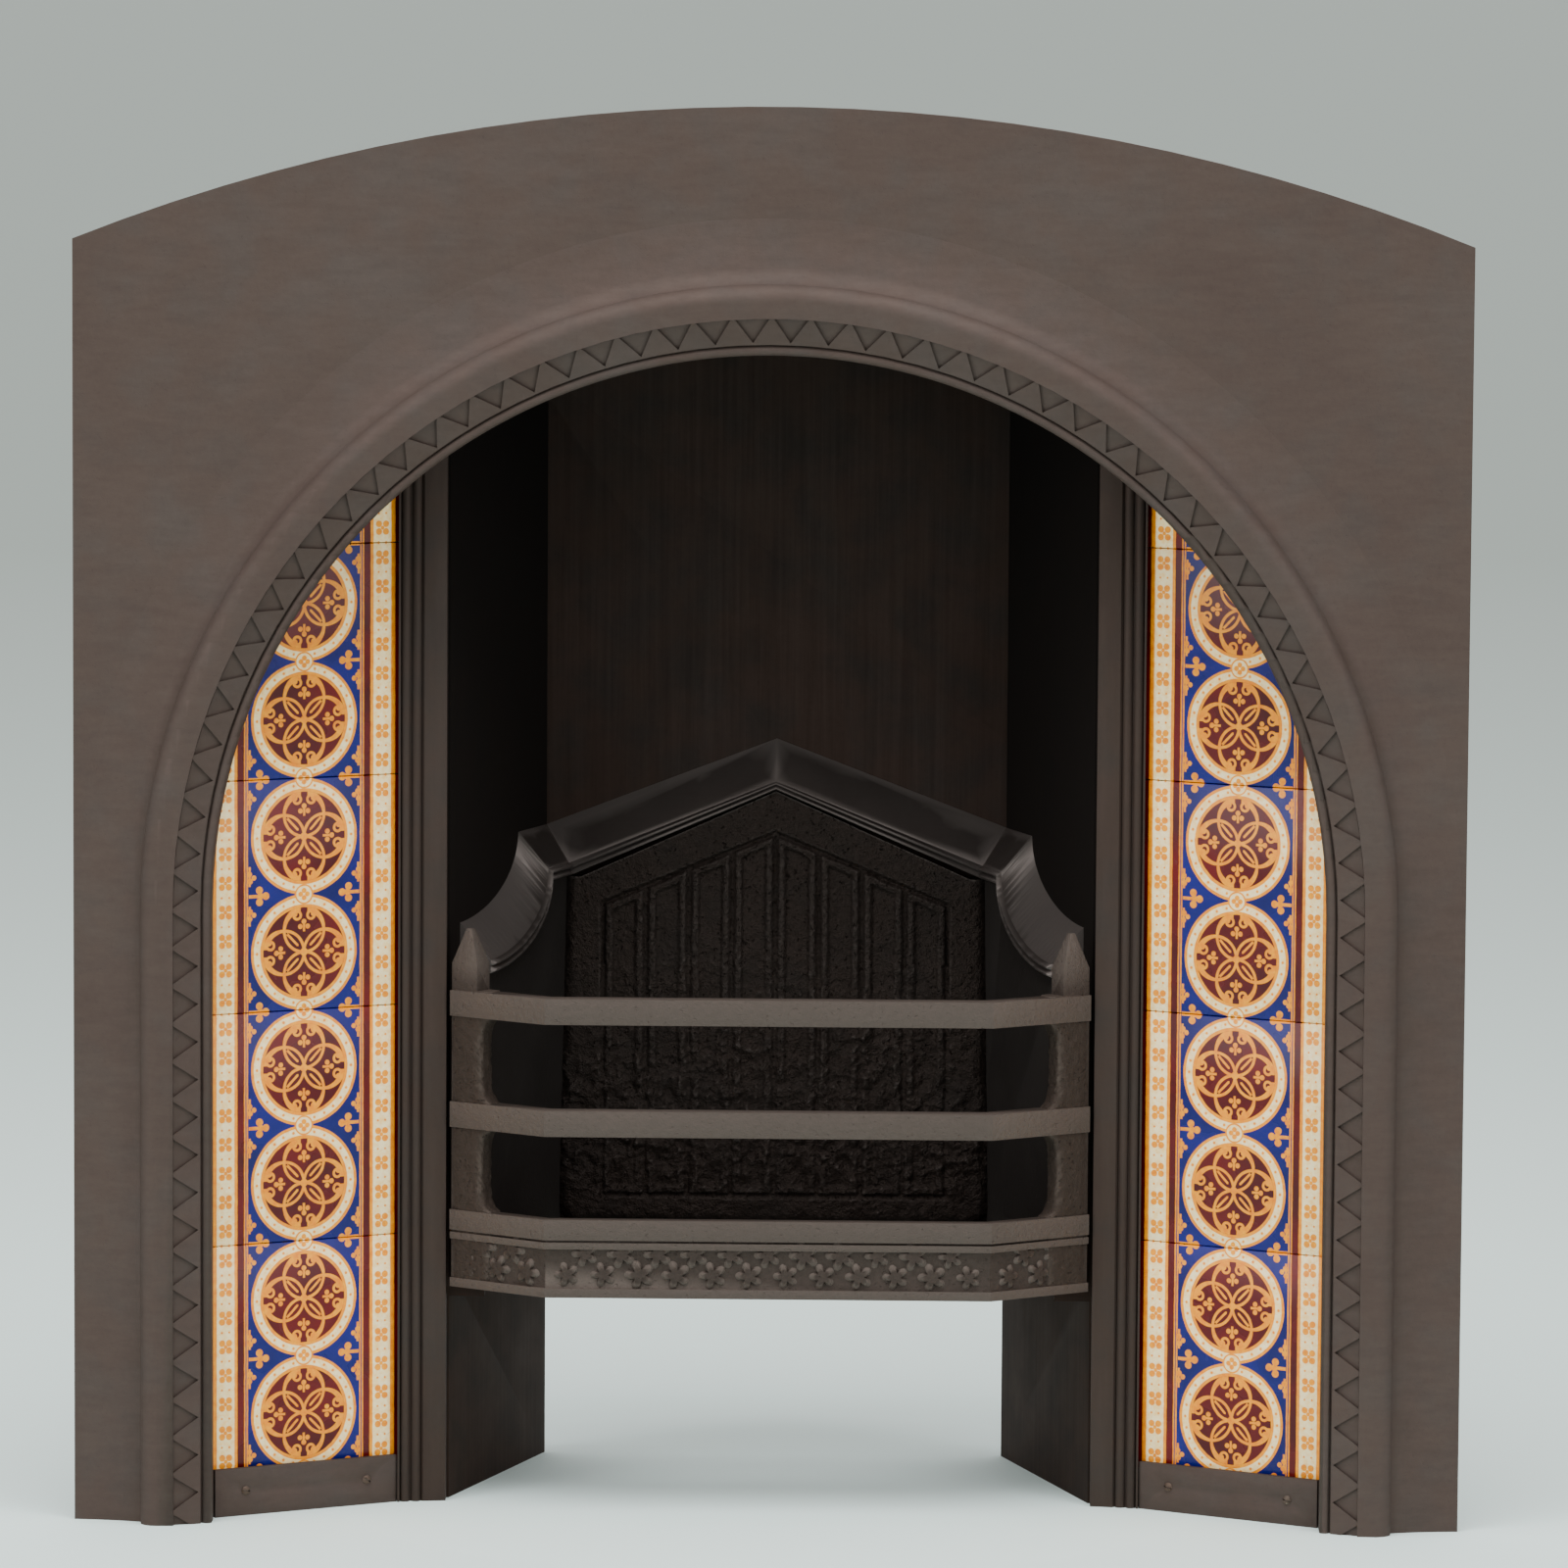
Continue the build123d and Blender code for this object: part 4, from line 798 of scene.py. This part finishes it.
def leaf_tree(material: bpy.types.Material) -> NodeTreeMaker:
    """Tree that lays a lobed leaf at each point, as in the fret's ornament.

    Args:
        material: the finish of the leaves.

    Returns:
        The tree.
    """
    maker = NodeTreeMaker("fret_leaves", {
        "Leaf Radius": ("NodeSocketFloat", 0.006), "Leaf Depth": ("NodeSocketFloat", 0.001),
        "Lobes": ("NodeSocketFloat", 5.0), "Lobe Cut": ("NodeSocketFloat", 0.5), "Seed": ("NodeSocketInt", 3)})
    g = maker.given
    cone = maker.add("MeshCone", {"Vertices": 40, "Side Segments": 2, "Radius Bottom": g["Leaf Radius"],
                                  "Radius Top": maker.calc("MULTIPLY", g["Leaf Radius"], 0.72),
                                  "Depth": g["Leaf Depth"]})
    place = maker.add("InputPosition")
    axes = maker.add("ShaderNodeSeparateXYZ", {0: place.outputs[0]})
    angle = maker.calc("ARCTAN2", axes.outputs[1], axes.outputs[0])
    wave = maker.calc("ABSOLUTE", maker.calc("SINE", maker.calc("MULTIPLY", angle, maker.calc(
        "MULTIPLY", g["Lobes"], 0.5))))
    shrink = maker.calc("SUBTRACT", 1.0, maker.calc("MULTIPLY", maker.calc("SUBTRACT", 1.0, wave), g["Lobe Cut"]))
    squeeze = maker.add("ShaderNodeCombineXYZ", {0: shrink, 1: shrink, 2: 1.0})
    moved = maker.add("ShaderNodeVectorMath", {0: place.outputs[0], 1: squeeze.outputs[0]}, operation="MULTIPLY")
    leaf = maker.add("SetPosition", {"Geometry": cone.outputs[0], "Position": moved.outputs[0]})
    size = maker.add("FunctionNodeRandomValue", {2: 0.88, 3: 1.12, "Seed": g["Seed"]}, data_type="FLOAT")
    placed = maker.add("InstanceOnPoints", {"Points": g["Geometry"], "Instance": leaf.outputs[0],
                                            "Rotation": maker.aimed(), "Scale": size.outputs[1]})
    maker.close(placed.outputs[0], material)
    return maker


# ------------------------------------------------------------------ sub-assemblies
@dataclass
class FrontPlate:
    """The arched front plate with its moulding and zigzag, in millimetres."""

    spring: float = 404.0
    opening: float = 362.0
    band: tuple[float, float] = (7.0, 24.0)

    def build(self) -> None:
        """Copy the plate, shade its arch smooth and keep its flat face and zigzag band flat-shaded."""
        shape = merged_copy("front_plate", False)
        piece = finished("arched_plate", shape, Body.CASING, PLATE_IRON.material(), ("front_plate",),
                         24.0)
        for face in piece.data.polygons:
            x, z = face.center.x / MM, face.center.z / MM - self.spring
            out = (math.hypot(x, z) if z > 0 else abs(x)) - self.opening
            if abs(face.normal.y) > 0.99995 or self.band[0] - 0.5 < out < self.band[1] + 0.2:
                face.use_smooth = False


@dataclass
class TilePanels:
    """Both splayed panels: their tiles, clips and iron frames."""

    rows: int = 5
    tile_edge: float = 0.7
    clip_edge: float = 0.6
    screw_radius: float = 3.1
    screw_height: float = 1.9

    def direction(self, hand: str) -> tuple[Vector, Vector]:
        """Find how a panel lies.

        Args:
            hand: "left" or "right".

        Returns:
            The middle of its lowest tile, and the level direction along it.
        """
        points = cad_points(f"{hand}_tile_1")
        middle = (points.min(0) + points.max(0)) / 2
        spread = np.linalg.svd(points[:, :2] - points[:, :2].mean(0), full_matrices=False)[2][0]
        return Vector(middle), Vector((spread[0], spread[1], 0.0)).normalized()

    def build(self) -> None:
        """Build the tiles, clips and screws, and dress the frames."""
        iron, screw = PLATE_IRON.material(), SCREW_STEEL.material()
        spots, facing = [], []
        for hand in ("left", "right"):
            middle, across = self.direction(hand)
            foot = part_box(f"{hand}_tile_1")[0].z
            finish = TileFinish(f"{hand}_glaze", tuple(middle), tuple(across), foot).material()
            for row in range(1, self.rows + 1):
                softened(f"{hand}_glazed_tile_{row}", f"{hand}_tile_{row}", self.tile_edge, Body.CASING,
                         finish)
            softened(f"{hand}_foot_clip", f"{hand}_tile_clip", self.clip_edge, Body.CASING, iron)
            side = 1.0 if hand == "right" else -1.0
            front = Vector((-abs(across.y) * side, -abs(across.x), 0.0))
            for solid in islands("clip_screws"):
                if solid[:, 0].mean() * side > 0:
                    reach = solid @ np.array(front)
                    top = solid[reach > reach.max() - 2e-5].mean(0)
                    spots.append(Vector(top) - front * self.screw_height * MM)
                    facing.append(front)
        tree = fastener_tree(screw, True)
        shape = tree.baked(spots, facing, {"Head Radius": self.screw_radius * MM,
                                           "Head Height": self.screw_height * MM, "Shank Radius": 0.0019,
                                           "Shank Length": 0.0105})
        finished("clip_screw_set", shape, Body.CASING, screw, ("clip_screws",))
        dressed(("left_tile_frame", "right_tile_frame"), "back_iron", BACK_IRON.material())


@dataclass
class Chamber:
    """The castings round the fire chamber: stiles, cheeks, back wall, linings and mouldings."""

    edge: float = 0.8

    def build(self) -> None:
        """Round the castings' edges and give each its own degree of soot."""
        stile, cheek = STILE_IRON.material(), CHEEK_IRON.material()
        soot, cornice = SOOT_IRON.material(), CORNICE_IRON.material()
        for hand in ("left", "right"):
            softened(f"{hand}_reeded_stile", f"{hand}_stile", 0.4, Body.CASING, stile, angle=40.0)
            softened(f"{hand}_side_cheek", f"{hand}_cheek", self.edge, Body.CASING, cheek)
            softened(f"{hand}_fire_lining", f"{hand}_lining", self.edge, Body.CASING, soot)
            finished(f"{hand}_swept_wing", merged_copy(f"{hand}_wing", False), Body.CASING, cornice,
                     (f"{hand}_wing",))
        finished("gable_moulding", merged_copy("gable_cornice", False), Body.CASING, cornice,
                 ("gable_cornice",))
        softened("chamber_back", "back_panel", self.edge, Body.CASING, WALL_IRON.material())


@dataclass
class Fireback:
    """The burnt fireback with its fan of upright panels."""

    columns: int = 236
    rows: int = 238
    panels: int = 8
    pitch: float = 29.2
    panel_foot: float = 183.6
    panel_apex: float = 430.5
    panel_fall: float = 0.4145
    groove: float = 1.7
    frame_width: float = 5.2
    shoulder_half: float = 136.0
    corner_radius: float = 16.0

    def relief(self, x: float, z: float, margin: float) -> float:
        """Height of the face above its general plane.

        Args:
            x: millimetres from the middle.
            z: millimetres above the floor.
            margin: distance to the nearest edge of the face.

        Returns:
            Relief in millimetres, negative where it is sunk.
        """
        place = Vector((x * 0.09, z * 0.09, 4.0))
        broad = noise.fractal(place * 0.35, 1.0, 2.0, 3)
        coarse = noise.fractal(place * 1.2 + Vector((9, 3, 1)), 0.9, 2.1, 4)
        fine = noise.fractal(place * 3.4, 0.8, 2.0, 3)
        burn = max(0.0, min(1.0, (372.0 - z + broad * 70.0 - abs(x) * 0.25) / 110.0))
        burn *= max(0.25, min(1.0, (z - 165.0) / 45.0))
        top = self.panel_apex - self.panel_fall * abs(x)
        half = self.panels * self.pitch / 2
        pattern = 0.0
        if abs(x) < half + 2 and self.panel_foot - 2 < z < top + 3:
            local = (x + half) % self.pitch
            side = min(local, self.pitch - local) if abs(x) < half else -(abs(x) - half)
            edge = min(side, z - self.panel_foot, (top - z) * 0.92)
            if edge < self.groove:
                pattern = -2.4 * max(0.0, 1.0 - max(0.0, -edge) / 2.0)
            elif edge < self.groove + self.frame_width:
                lift = (edge - self.groove) / self.frame_width
                pattern = 0.5 + 0.7 * math.sin(math.pi * lift) ** 0.6
            else:
                pattern = -1.7
        rough = 0.35 * coarse + 0.22 * fine + broad * 0.3
        scale = coarse * 2.2 + abs(fine) * 1.3 - 0.5
        face = pattern * (1.0 - 0.72 * burn) + rough + scale * burn * 0.9
        rounding = max(0.0, 1.0 - margin / 9.0)
        return face - 5.5 * rounding * rounding - 1.5

    def build(self) -> None:
        """Build the face as a fine grid, and close it with plain sides and back."""
        low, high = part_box("fireback")
        points = cad_points("fireback")
        back = high.y / MM
        foot, apex = low.z / MM, high.z / MM
        front_foot = points[points[:, 2] < low.z + 1e-4][:, 1].min() / MM
        corner_points = points[(abs(points[:, 0]) > 0.14) & (points[:, 2] > low.z + 0.1)]
        shoulder_face, shoulder_height = corner_points[:, 1].min() / MM, corner_points[:, 2].max() / MM
        front_top = front_foot + (shoulder_face - front_foot) * (apex - foot) / (shoulder_height - foot)
        half_foot = high.x / MM
        shoulder_points = points[(points[:, 2] > low.z + 0.1) & (abs(points[:, 0]) > 0.12)]
        shoulder = 399.4 if len(shoulder_points) == 0 else shoulder_points[:, 2].max() / MM
        half_back = abs(points[points[:, 1] > high.y - 1e-4][:, 0]).max() / MM
        shape = bmesh.new()
        grid = []
        for row in range(self.rows + 1):
            line = []
            for column in range(self.columns + 1):
                s, t = 2 * column / self.columns - 1, row / self.rows
                crest = apex - (apex - shoulder) * min(1.0, abs(s) * half_foot / self.shoulder_half)
                z = foot + t * (crest - 0.6 - foot)
                width = half_foot - (half_foot - half_back) * 0.4 * (z - foot) / (apex - foot)
                x = s * width
                margin = min(width - abs(x), z - foot, 40.0)
                round_off = self.corner_radius
                corner = math.hypot(max(0.0, round_off - (width - abs(x))), max(0.0, round_off - (z - foot)))
                margin = min(margin, max(0.0, round_off - corner))
                y = front_foot + (front_top - front_foot) * (z - foot) / (apex - foot)
                y = y + 2.0 - self.relief(x, z, margin)
                line.append(shape.verts.new((x * MM, y * MM, z * MM)))
            grid.append(line)
        for row in range(self.rows):
            for column in range(self.columns):
                a, b = grid[row][column], grid[row][column + 1]
                c, d = grid[row + 1][column + 1], grid[row + 1][column]
                shape.faces.new((a, b, c, d))
        rim = (grid[0][:-1] + [line[-1] for line in grid[:-1]] + grid[-1][:0:-1]
               + [line[0] for line in grid[:0:-1]])
        ring = [shape.verts.new((v.co.x * half_back / half_foot, back * MM, v.co.z)) for v in rim]
        for k, vert in enumerate(rim):
            after = (k + 1) % len(rim)
            shape.faces.new((rim[after], vert, ring[k], ring[after]))
        shape.faces.new(ring[::-1])
        bmesh.ops.recalc_face_normals(shape, faces=shape.faces)
        finished("burnt_fireback", shape, Body.CASING, FIREBACK_IRON.material(), ("fireback",), 75.0)


@dataclass
class FrontBars:
    """The lift-off front bars: bars, fret with its leaves, rough posts and finials."""

    edge: float = 0.5
    leaf_pitch: float = 24.0
    leaf_radius: float = 9.2
    leaf_depth: float = 1.8
    leaf_sink: float = 3.1
    frieze: tuple[float, float] = (152.0, 181.0)
    post_levels: int = 92
    post_points: int = 44
    post_foot: float = 144.6
    post_top: float = 342.6
    bar_heights: tuple[tuple[float, float], ...] = ((144.5, 196.0), (251.0, 268.0), (325.0, 342.0))
    post_width: float = 24.6
    post_flare: float = 8.0
    flare_reach: float = 4.5
    post_middle: float = 8.2
    post_half: float = 7.2
    post_rough: float = 0.75

    def runs(self) -> list[tuple[Vector, Vector]]:
        """Ends of the three faces that the bars follow, from left to right."""
        points = cad_points("front_bars")
        front = points[:, 1].min()
        corner = abs(points[points[:, 1] < front + 1e-5][:, 0]).max()
        side = points[(points[:, 0] > points[:, 0].max() - 1e-5)]
        end = Vector((side[:, 0].max(), side[:, 1].min(), 0.0))
        bend = Vector((corner, front, 0.0))
        flip = Matrix.Diagonal((-1.0, 1.0, 1.0, 1.0))
        return [(flip @ end, flip @ bend), (flip @ bend, bend), (bend, end)]

    def leaves(self, material: bpy.types.Material) -> None:
        """Lay two rows of leaves on the frieze of each face."""
        spots, facing = [], []
        for start, end in self.runs():
            ahead = (end - start).normalized()
            front = Vector((ahead.y, -ahead.x, 0.0))
            length = (end - start).length / MM
            count = int((length - 14) / self.leaf_pitch)
            for row, height in enumerate((self.frieze[0] + 7.6, self.frieze[1] - 7.6)):
                for step in range(count + 1 - row):
                    run = (length - count * self.leaf_pitch) / 2 + (step + row * 0.5) * self.leaf_pitch
                    spot = start + ahead * run * MM - front * self.leaf_sink * MM
                    spots.append((spot.x, spot.y, height * MM))
                    facing.append(front)
        shape = leaf_tree(material).baked(spots, facing, {"Leaf Radius": self.leaf_radius * MM,
                                                          "Leaf Depth": self.leaf_depth * MM, "Lobes": 5.0,
                                                          "Lobe Cut": 0.5})
        finished("fret_leaf_rows", shape, Body.BARS, material, (), 50.0)

    def post(self, shape: bmesh.types.BMesh, side: float) -> None:
        """Add one rough end post, wider where it meets the bars.

        Args:
            shape: the mesh to add to.
            side: 1 for the right-hand post and -1 for the left.
        """
        start, end = self.runs()[2]
        ahead = (end - start).normalized()
        behind = Vector((-ahead.y, ahead.x, 0.0))
        rings = []
        for level in range(self.post_levels + 1):
            z = self.post_foot + (self.post_top - self.post_foot) * level / self.post_levels
            gap = min(max(low - z, z - high, 0.0) for low, high in self.bar_heights)
            inner = self.post_width + self.post_flare * math.exp(-gap / self.flare_reach)
            ring = []
            for k in range(self.post_points):
                turn = math.tau * k / self.post_points
                c, s = math.cos(turn), math.sin(turn)
                squared = (abs(c) ** 5 + abs(s) ** 5) ** (-1 / 5)
                run = -inner / 2 + c * squared * inner / 2 - 0.2
                depth = self.post_middle + s * squared * self.post_half
                rough = noise.fractal(Vector((run * 0.3, depth * 0.3, z * 0.3 + side * 40)), 0.9, 2.0, 4)
                amount = self.post_rough * rough * (1.0 if c < 0.4 else 0.25)
                spot = end + ahead * (run + c * amount) * MM + behind * (depth + s * amount) * MM
                ring.append(shape.verts.new((side * spot.x, spot.y, z * MM)))
            rings.append(ring)
        for low, high in zip(rings, rings[1:]):
            for k in range(self.post_points):
                after = (k + 1) % self.post_points
                shape.faces.new((low[k], low[after], high[after], high[k]))
        shape.faces.new(rings[0][::-1])
        shape.faces.new(rings[-1])

    def build(self) -> None:
        """Build the bars, their leaves and their posts."""
        iron = BAR_IRON.material()
        softened("bar_casting", "front_bars", self.edge, Body.BARS, iron)
        self.leaves(iron)
        shape = bmesh.new()
        for side in (1.0, -1.0):
            self.post(shape, side)
        bmesh.ops.recalc_face_normals(shape, faces=shape.faces)
        finished("bar_end_posts", shape, Body.BARS, POST_IRON.material(), (), 60.0)


@dataclass
class HiddenWork:
    """What stands behind: register plate, damper, fixing lugs and their bolts."""

    head: float = 4.0
    radius: float = 5.2
    shank: float = 2.95

    def bolts(self, node: str, name: str, facing: Facing) -> None:
        """Stand in for a group of CAD bolts with hexagon bolts on washers.

        Args:
            node: the CAD node that holds the group.
            name: the piece's name.
            facing: which way the heads look.
        """
        way = np.array(facing.value)
        spots, length = [], 0.0
        for solid in islands(node):
            reach = solid @ way
            low, high = solid.min(0), solid.max(0)
            seat = (low + high) / 2
            seat = seat - way * (seat @ way) + way * (reach.max() - self.head * MM)
            spots.append(tuple(seat))
            length = reach.max() - self.head * MM - reach.min()
        material = BOLT_STEEL.material()
        shape = fastener_tree(material, False).baked(
            spots, [facing.value] * len(spots),
            {"Head Radius": self.radius * 0.98 * MM, "Head Height": self.head * MM, "Shank Radius": self.shank * MM,
             "Shank Length": float(max(length, 0.001))})
        finished(name, shape, Body.CASING, material, (node,))

    def build(self) -> None:
        """Build the bolts and dress or round the castings behind."""
        back = BACK_IRON.material()
        softened("register_casting", "register_plate", 0.6, Body.CASING, back)
        softened("flue_flap", "damper_flap", 0.5, Body.DAMPER, back)
        softened("flap_pin", "damper_pin", 0.3, Body.CASING, BOLT_STEEL.material())
        for hand in ("left", "right"):
            softened(f"{hand}_wall_lug", f"{hand}_fixing_lug", 0.5, Body.CASING, back)
        for node, name, facing in (("frame_bolts", "frame_bolt_set", Facing.BACK),
                                   ("lug_bolts", "lug_bolt_set", Facing.BACK),
                                   ("stile_bolts", "stile_bolt_set", Facing.BACK),
                                   ("panel_bolts", "panel_bolt_set", Facing.FRONT),
                                   ("register_bolts", "register_bolt_set", Facing.UP)):
            self.bolts(node, name, facing)
        softened("panel_nut_set", "panel_nuts", 0.4, Body.CASING, BOLT_STEEL.material())
        softened("slotted_grate", "bottom_grate", 1.0, Body.GRATE, GRATE_IRON.material())


# ------------------------------------------------------------------ studio
@dataclass
class Studio:
    """Pale floor, soft lights and the camera."""

    place: Point = (0.1004, -5.55955, 1.0217)
    yaw: float = 0.96
    pitch: float = -5.614
    roll: float = -0.358
    lens: float = 193.2
    floor: Colour = (0.80, 0.965, 0.94)
    floor_radius: float = 400.0
    fade: tuple[float, float] = (0.3, 9.0)
    # painted shade: the grey-green that the far floor darkens to
    far_floor_shade: Colour = (0.42, 0.50, 0.465)

    def camera(self) -> None:
        """Place the camera."""
        turn = (Matrix.Rotation(math.radians(self.yaw), 3, "Z") @ Matrix.Rotation(math.radians(self.pitch), 3, "X")
                @ Matrix.Rotation(math.radians(self.roll), 3, "Y"))
        right, forward, up = turn.col[0], turn.col[1], turn.col[2]
        data = bpy.data.cameras.new("camera")
        data.lens, data.sensor_width, data.clip_end = self.lens, 36.0, 1000.0
        camera = bpy.data.objects.new("camera", data)
        camera.matrix_world = Matrix.Translation(self.place) @ Matrix(
            (right, up, -forward)).transposed().to_4x4()
        bpy.context.scene.collection.objects.link(camera)
        bpy.context.scene.camera = camera

    def backdrop(self) -> None:
        """Lay a wide round floor whose colour darkens with distance from pale mint to grey-green, painted shade for
        the dimmer far backdrop, open to the camera from every side.
        """
        shape = bmesh.new()
        bmesh.ops.create_circle(shape, cap_ends=True, radius=self.floor_radius, segments=96)
        mesh = bpy.data.meshes.new("backdrop")
        shape.to_mesh(mesh)
        shape.free()
        mesh.shade_smooth()
        material, tree, shader, place = start_material("backdrop_paper")
        axes = tree.nodes.new("ShaderNodeSeparateXYZ")
        tree.links.new(place, axes.inputs[0])
        distance = Term(tree, axes.outputs[0]).length(Term(tree, axes.outputs[1]))
        # painted shade: the floor darkens with distance towards the grey-green
        mask = stepped(distance, *self.fade).math("SQRT")
        tree.links.new(mixed(tree, mask, self.floor, self.far_floor_shade), shader.inputs["Base Color"])
        shader.inputs["Roughness"].default_value = 0.75
        mesh.materials.append(material)
        sheet = bpy.data.objects.new("backdrop", mesh)
        bpy.context.scene.collection.objects.link(sheet)

    def lamp(self, name: str, place: Point, aim: Point, size: tuple[float, float], power: float,
             colour: Colour = (1.0, 1.0, 1.0)) -> None:
        """Hang one soft rectangular light.

        Args:
            name: the light's name.
            place: where it hangs.
            aim: the point it looks at.
            size: its width and height.
            power: its power in watts.
            colour: its colour.
        """
        data = bpy.data.lights.new(name, "AREA")
        data.shape, data.size, data.size_y = "RECTANGLE", size[0], size[1]
        data.energy, data.color = power, colour
        light = bpy.data.objects.new(name, data)
        way = Vector(aim) - Vector(place)
        light.matrix_world = Matrix.Translation(place) @ way.to_track_quat("-Z", "Y").to_matrix().to_4x4()
        bpy.context.scene.collection.objects.link(light)

    def build(self) -> None:
        """Build the studio."""
        self.backdrop()
        self.camera()
        world = bpy.data.worlds.new("studio_air")
        world.use_nodes = True
        world.node_tree.nodes["Background"].inputs[0].default_value = (1.0, 0.97, 0.96, 1.0)
        world.node_tree.nodes["Background"].inputs[1].default_value = 1.0
        bpy.context.scene.world = world
        self.lamp("top_soft", (0.0, -1.2, 3.4), (0.0, 0.2, 0.4), (3.2, 2.2), 135.0)
        self.lamp("left_soft", (-3.4, -3.0, 1.9), (0.0, 0.0, 0.5), (2.0, 2.6), 70.0)
        self.lamp("right_soft", (3.4, -3.2, 1.7), (0.0, 0.0, 0.5), (2.0, 2.6), 45.0)


def main() -> None:
    """Build every sub-assembly in order."""
    logging.basicConfig(level=logging.INFO, format="%(name)s: %(message)s")
    for part in (Studio(), FrontPlate(), TilePanels(), Chamber(), Fireback(), FrontBars(), HiddenWork()):
        log.info("building %s", type(part).__name__)
        part.build()


if __name__ == "__main__":
    main()
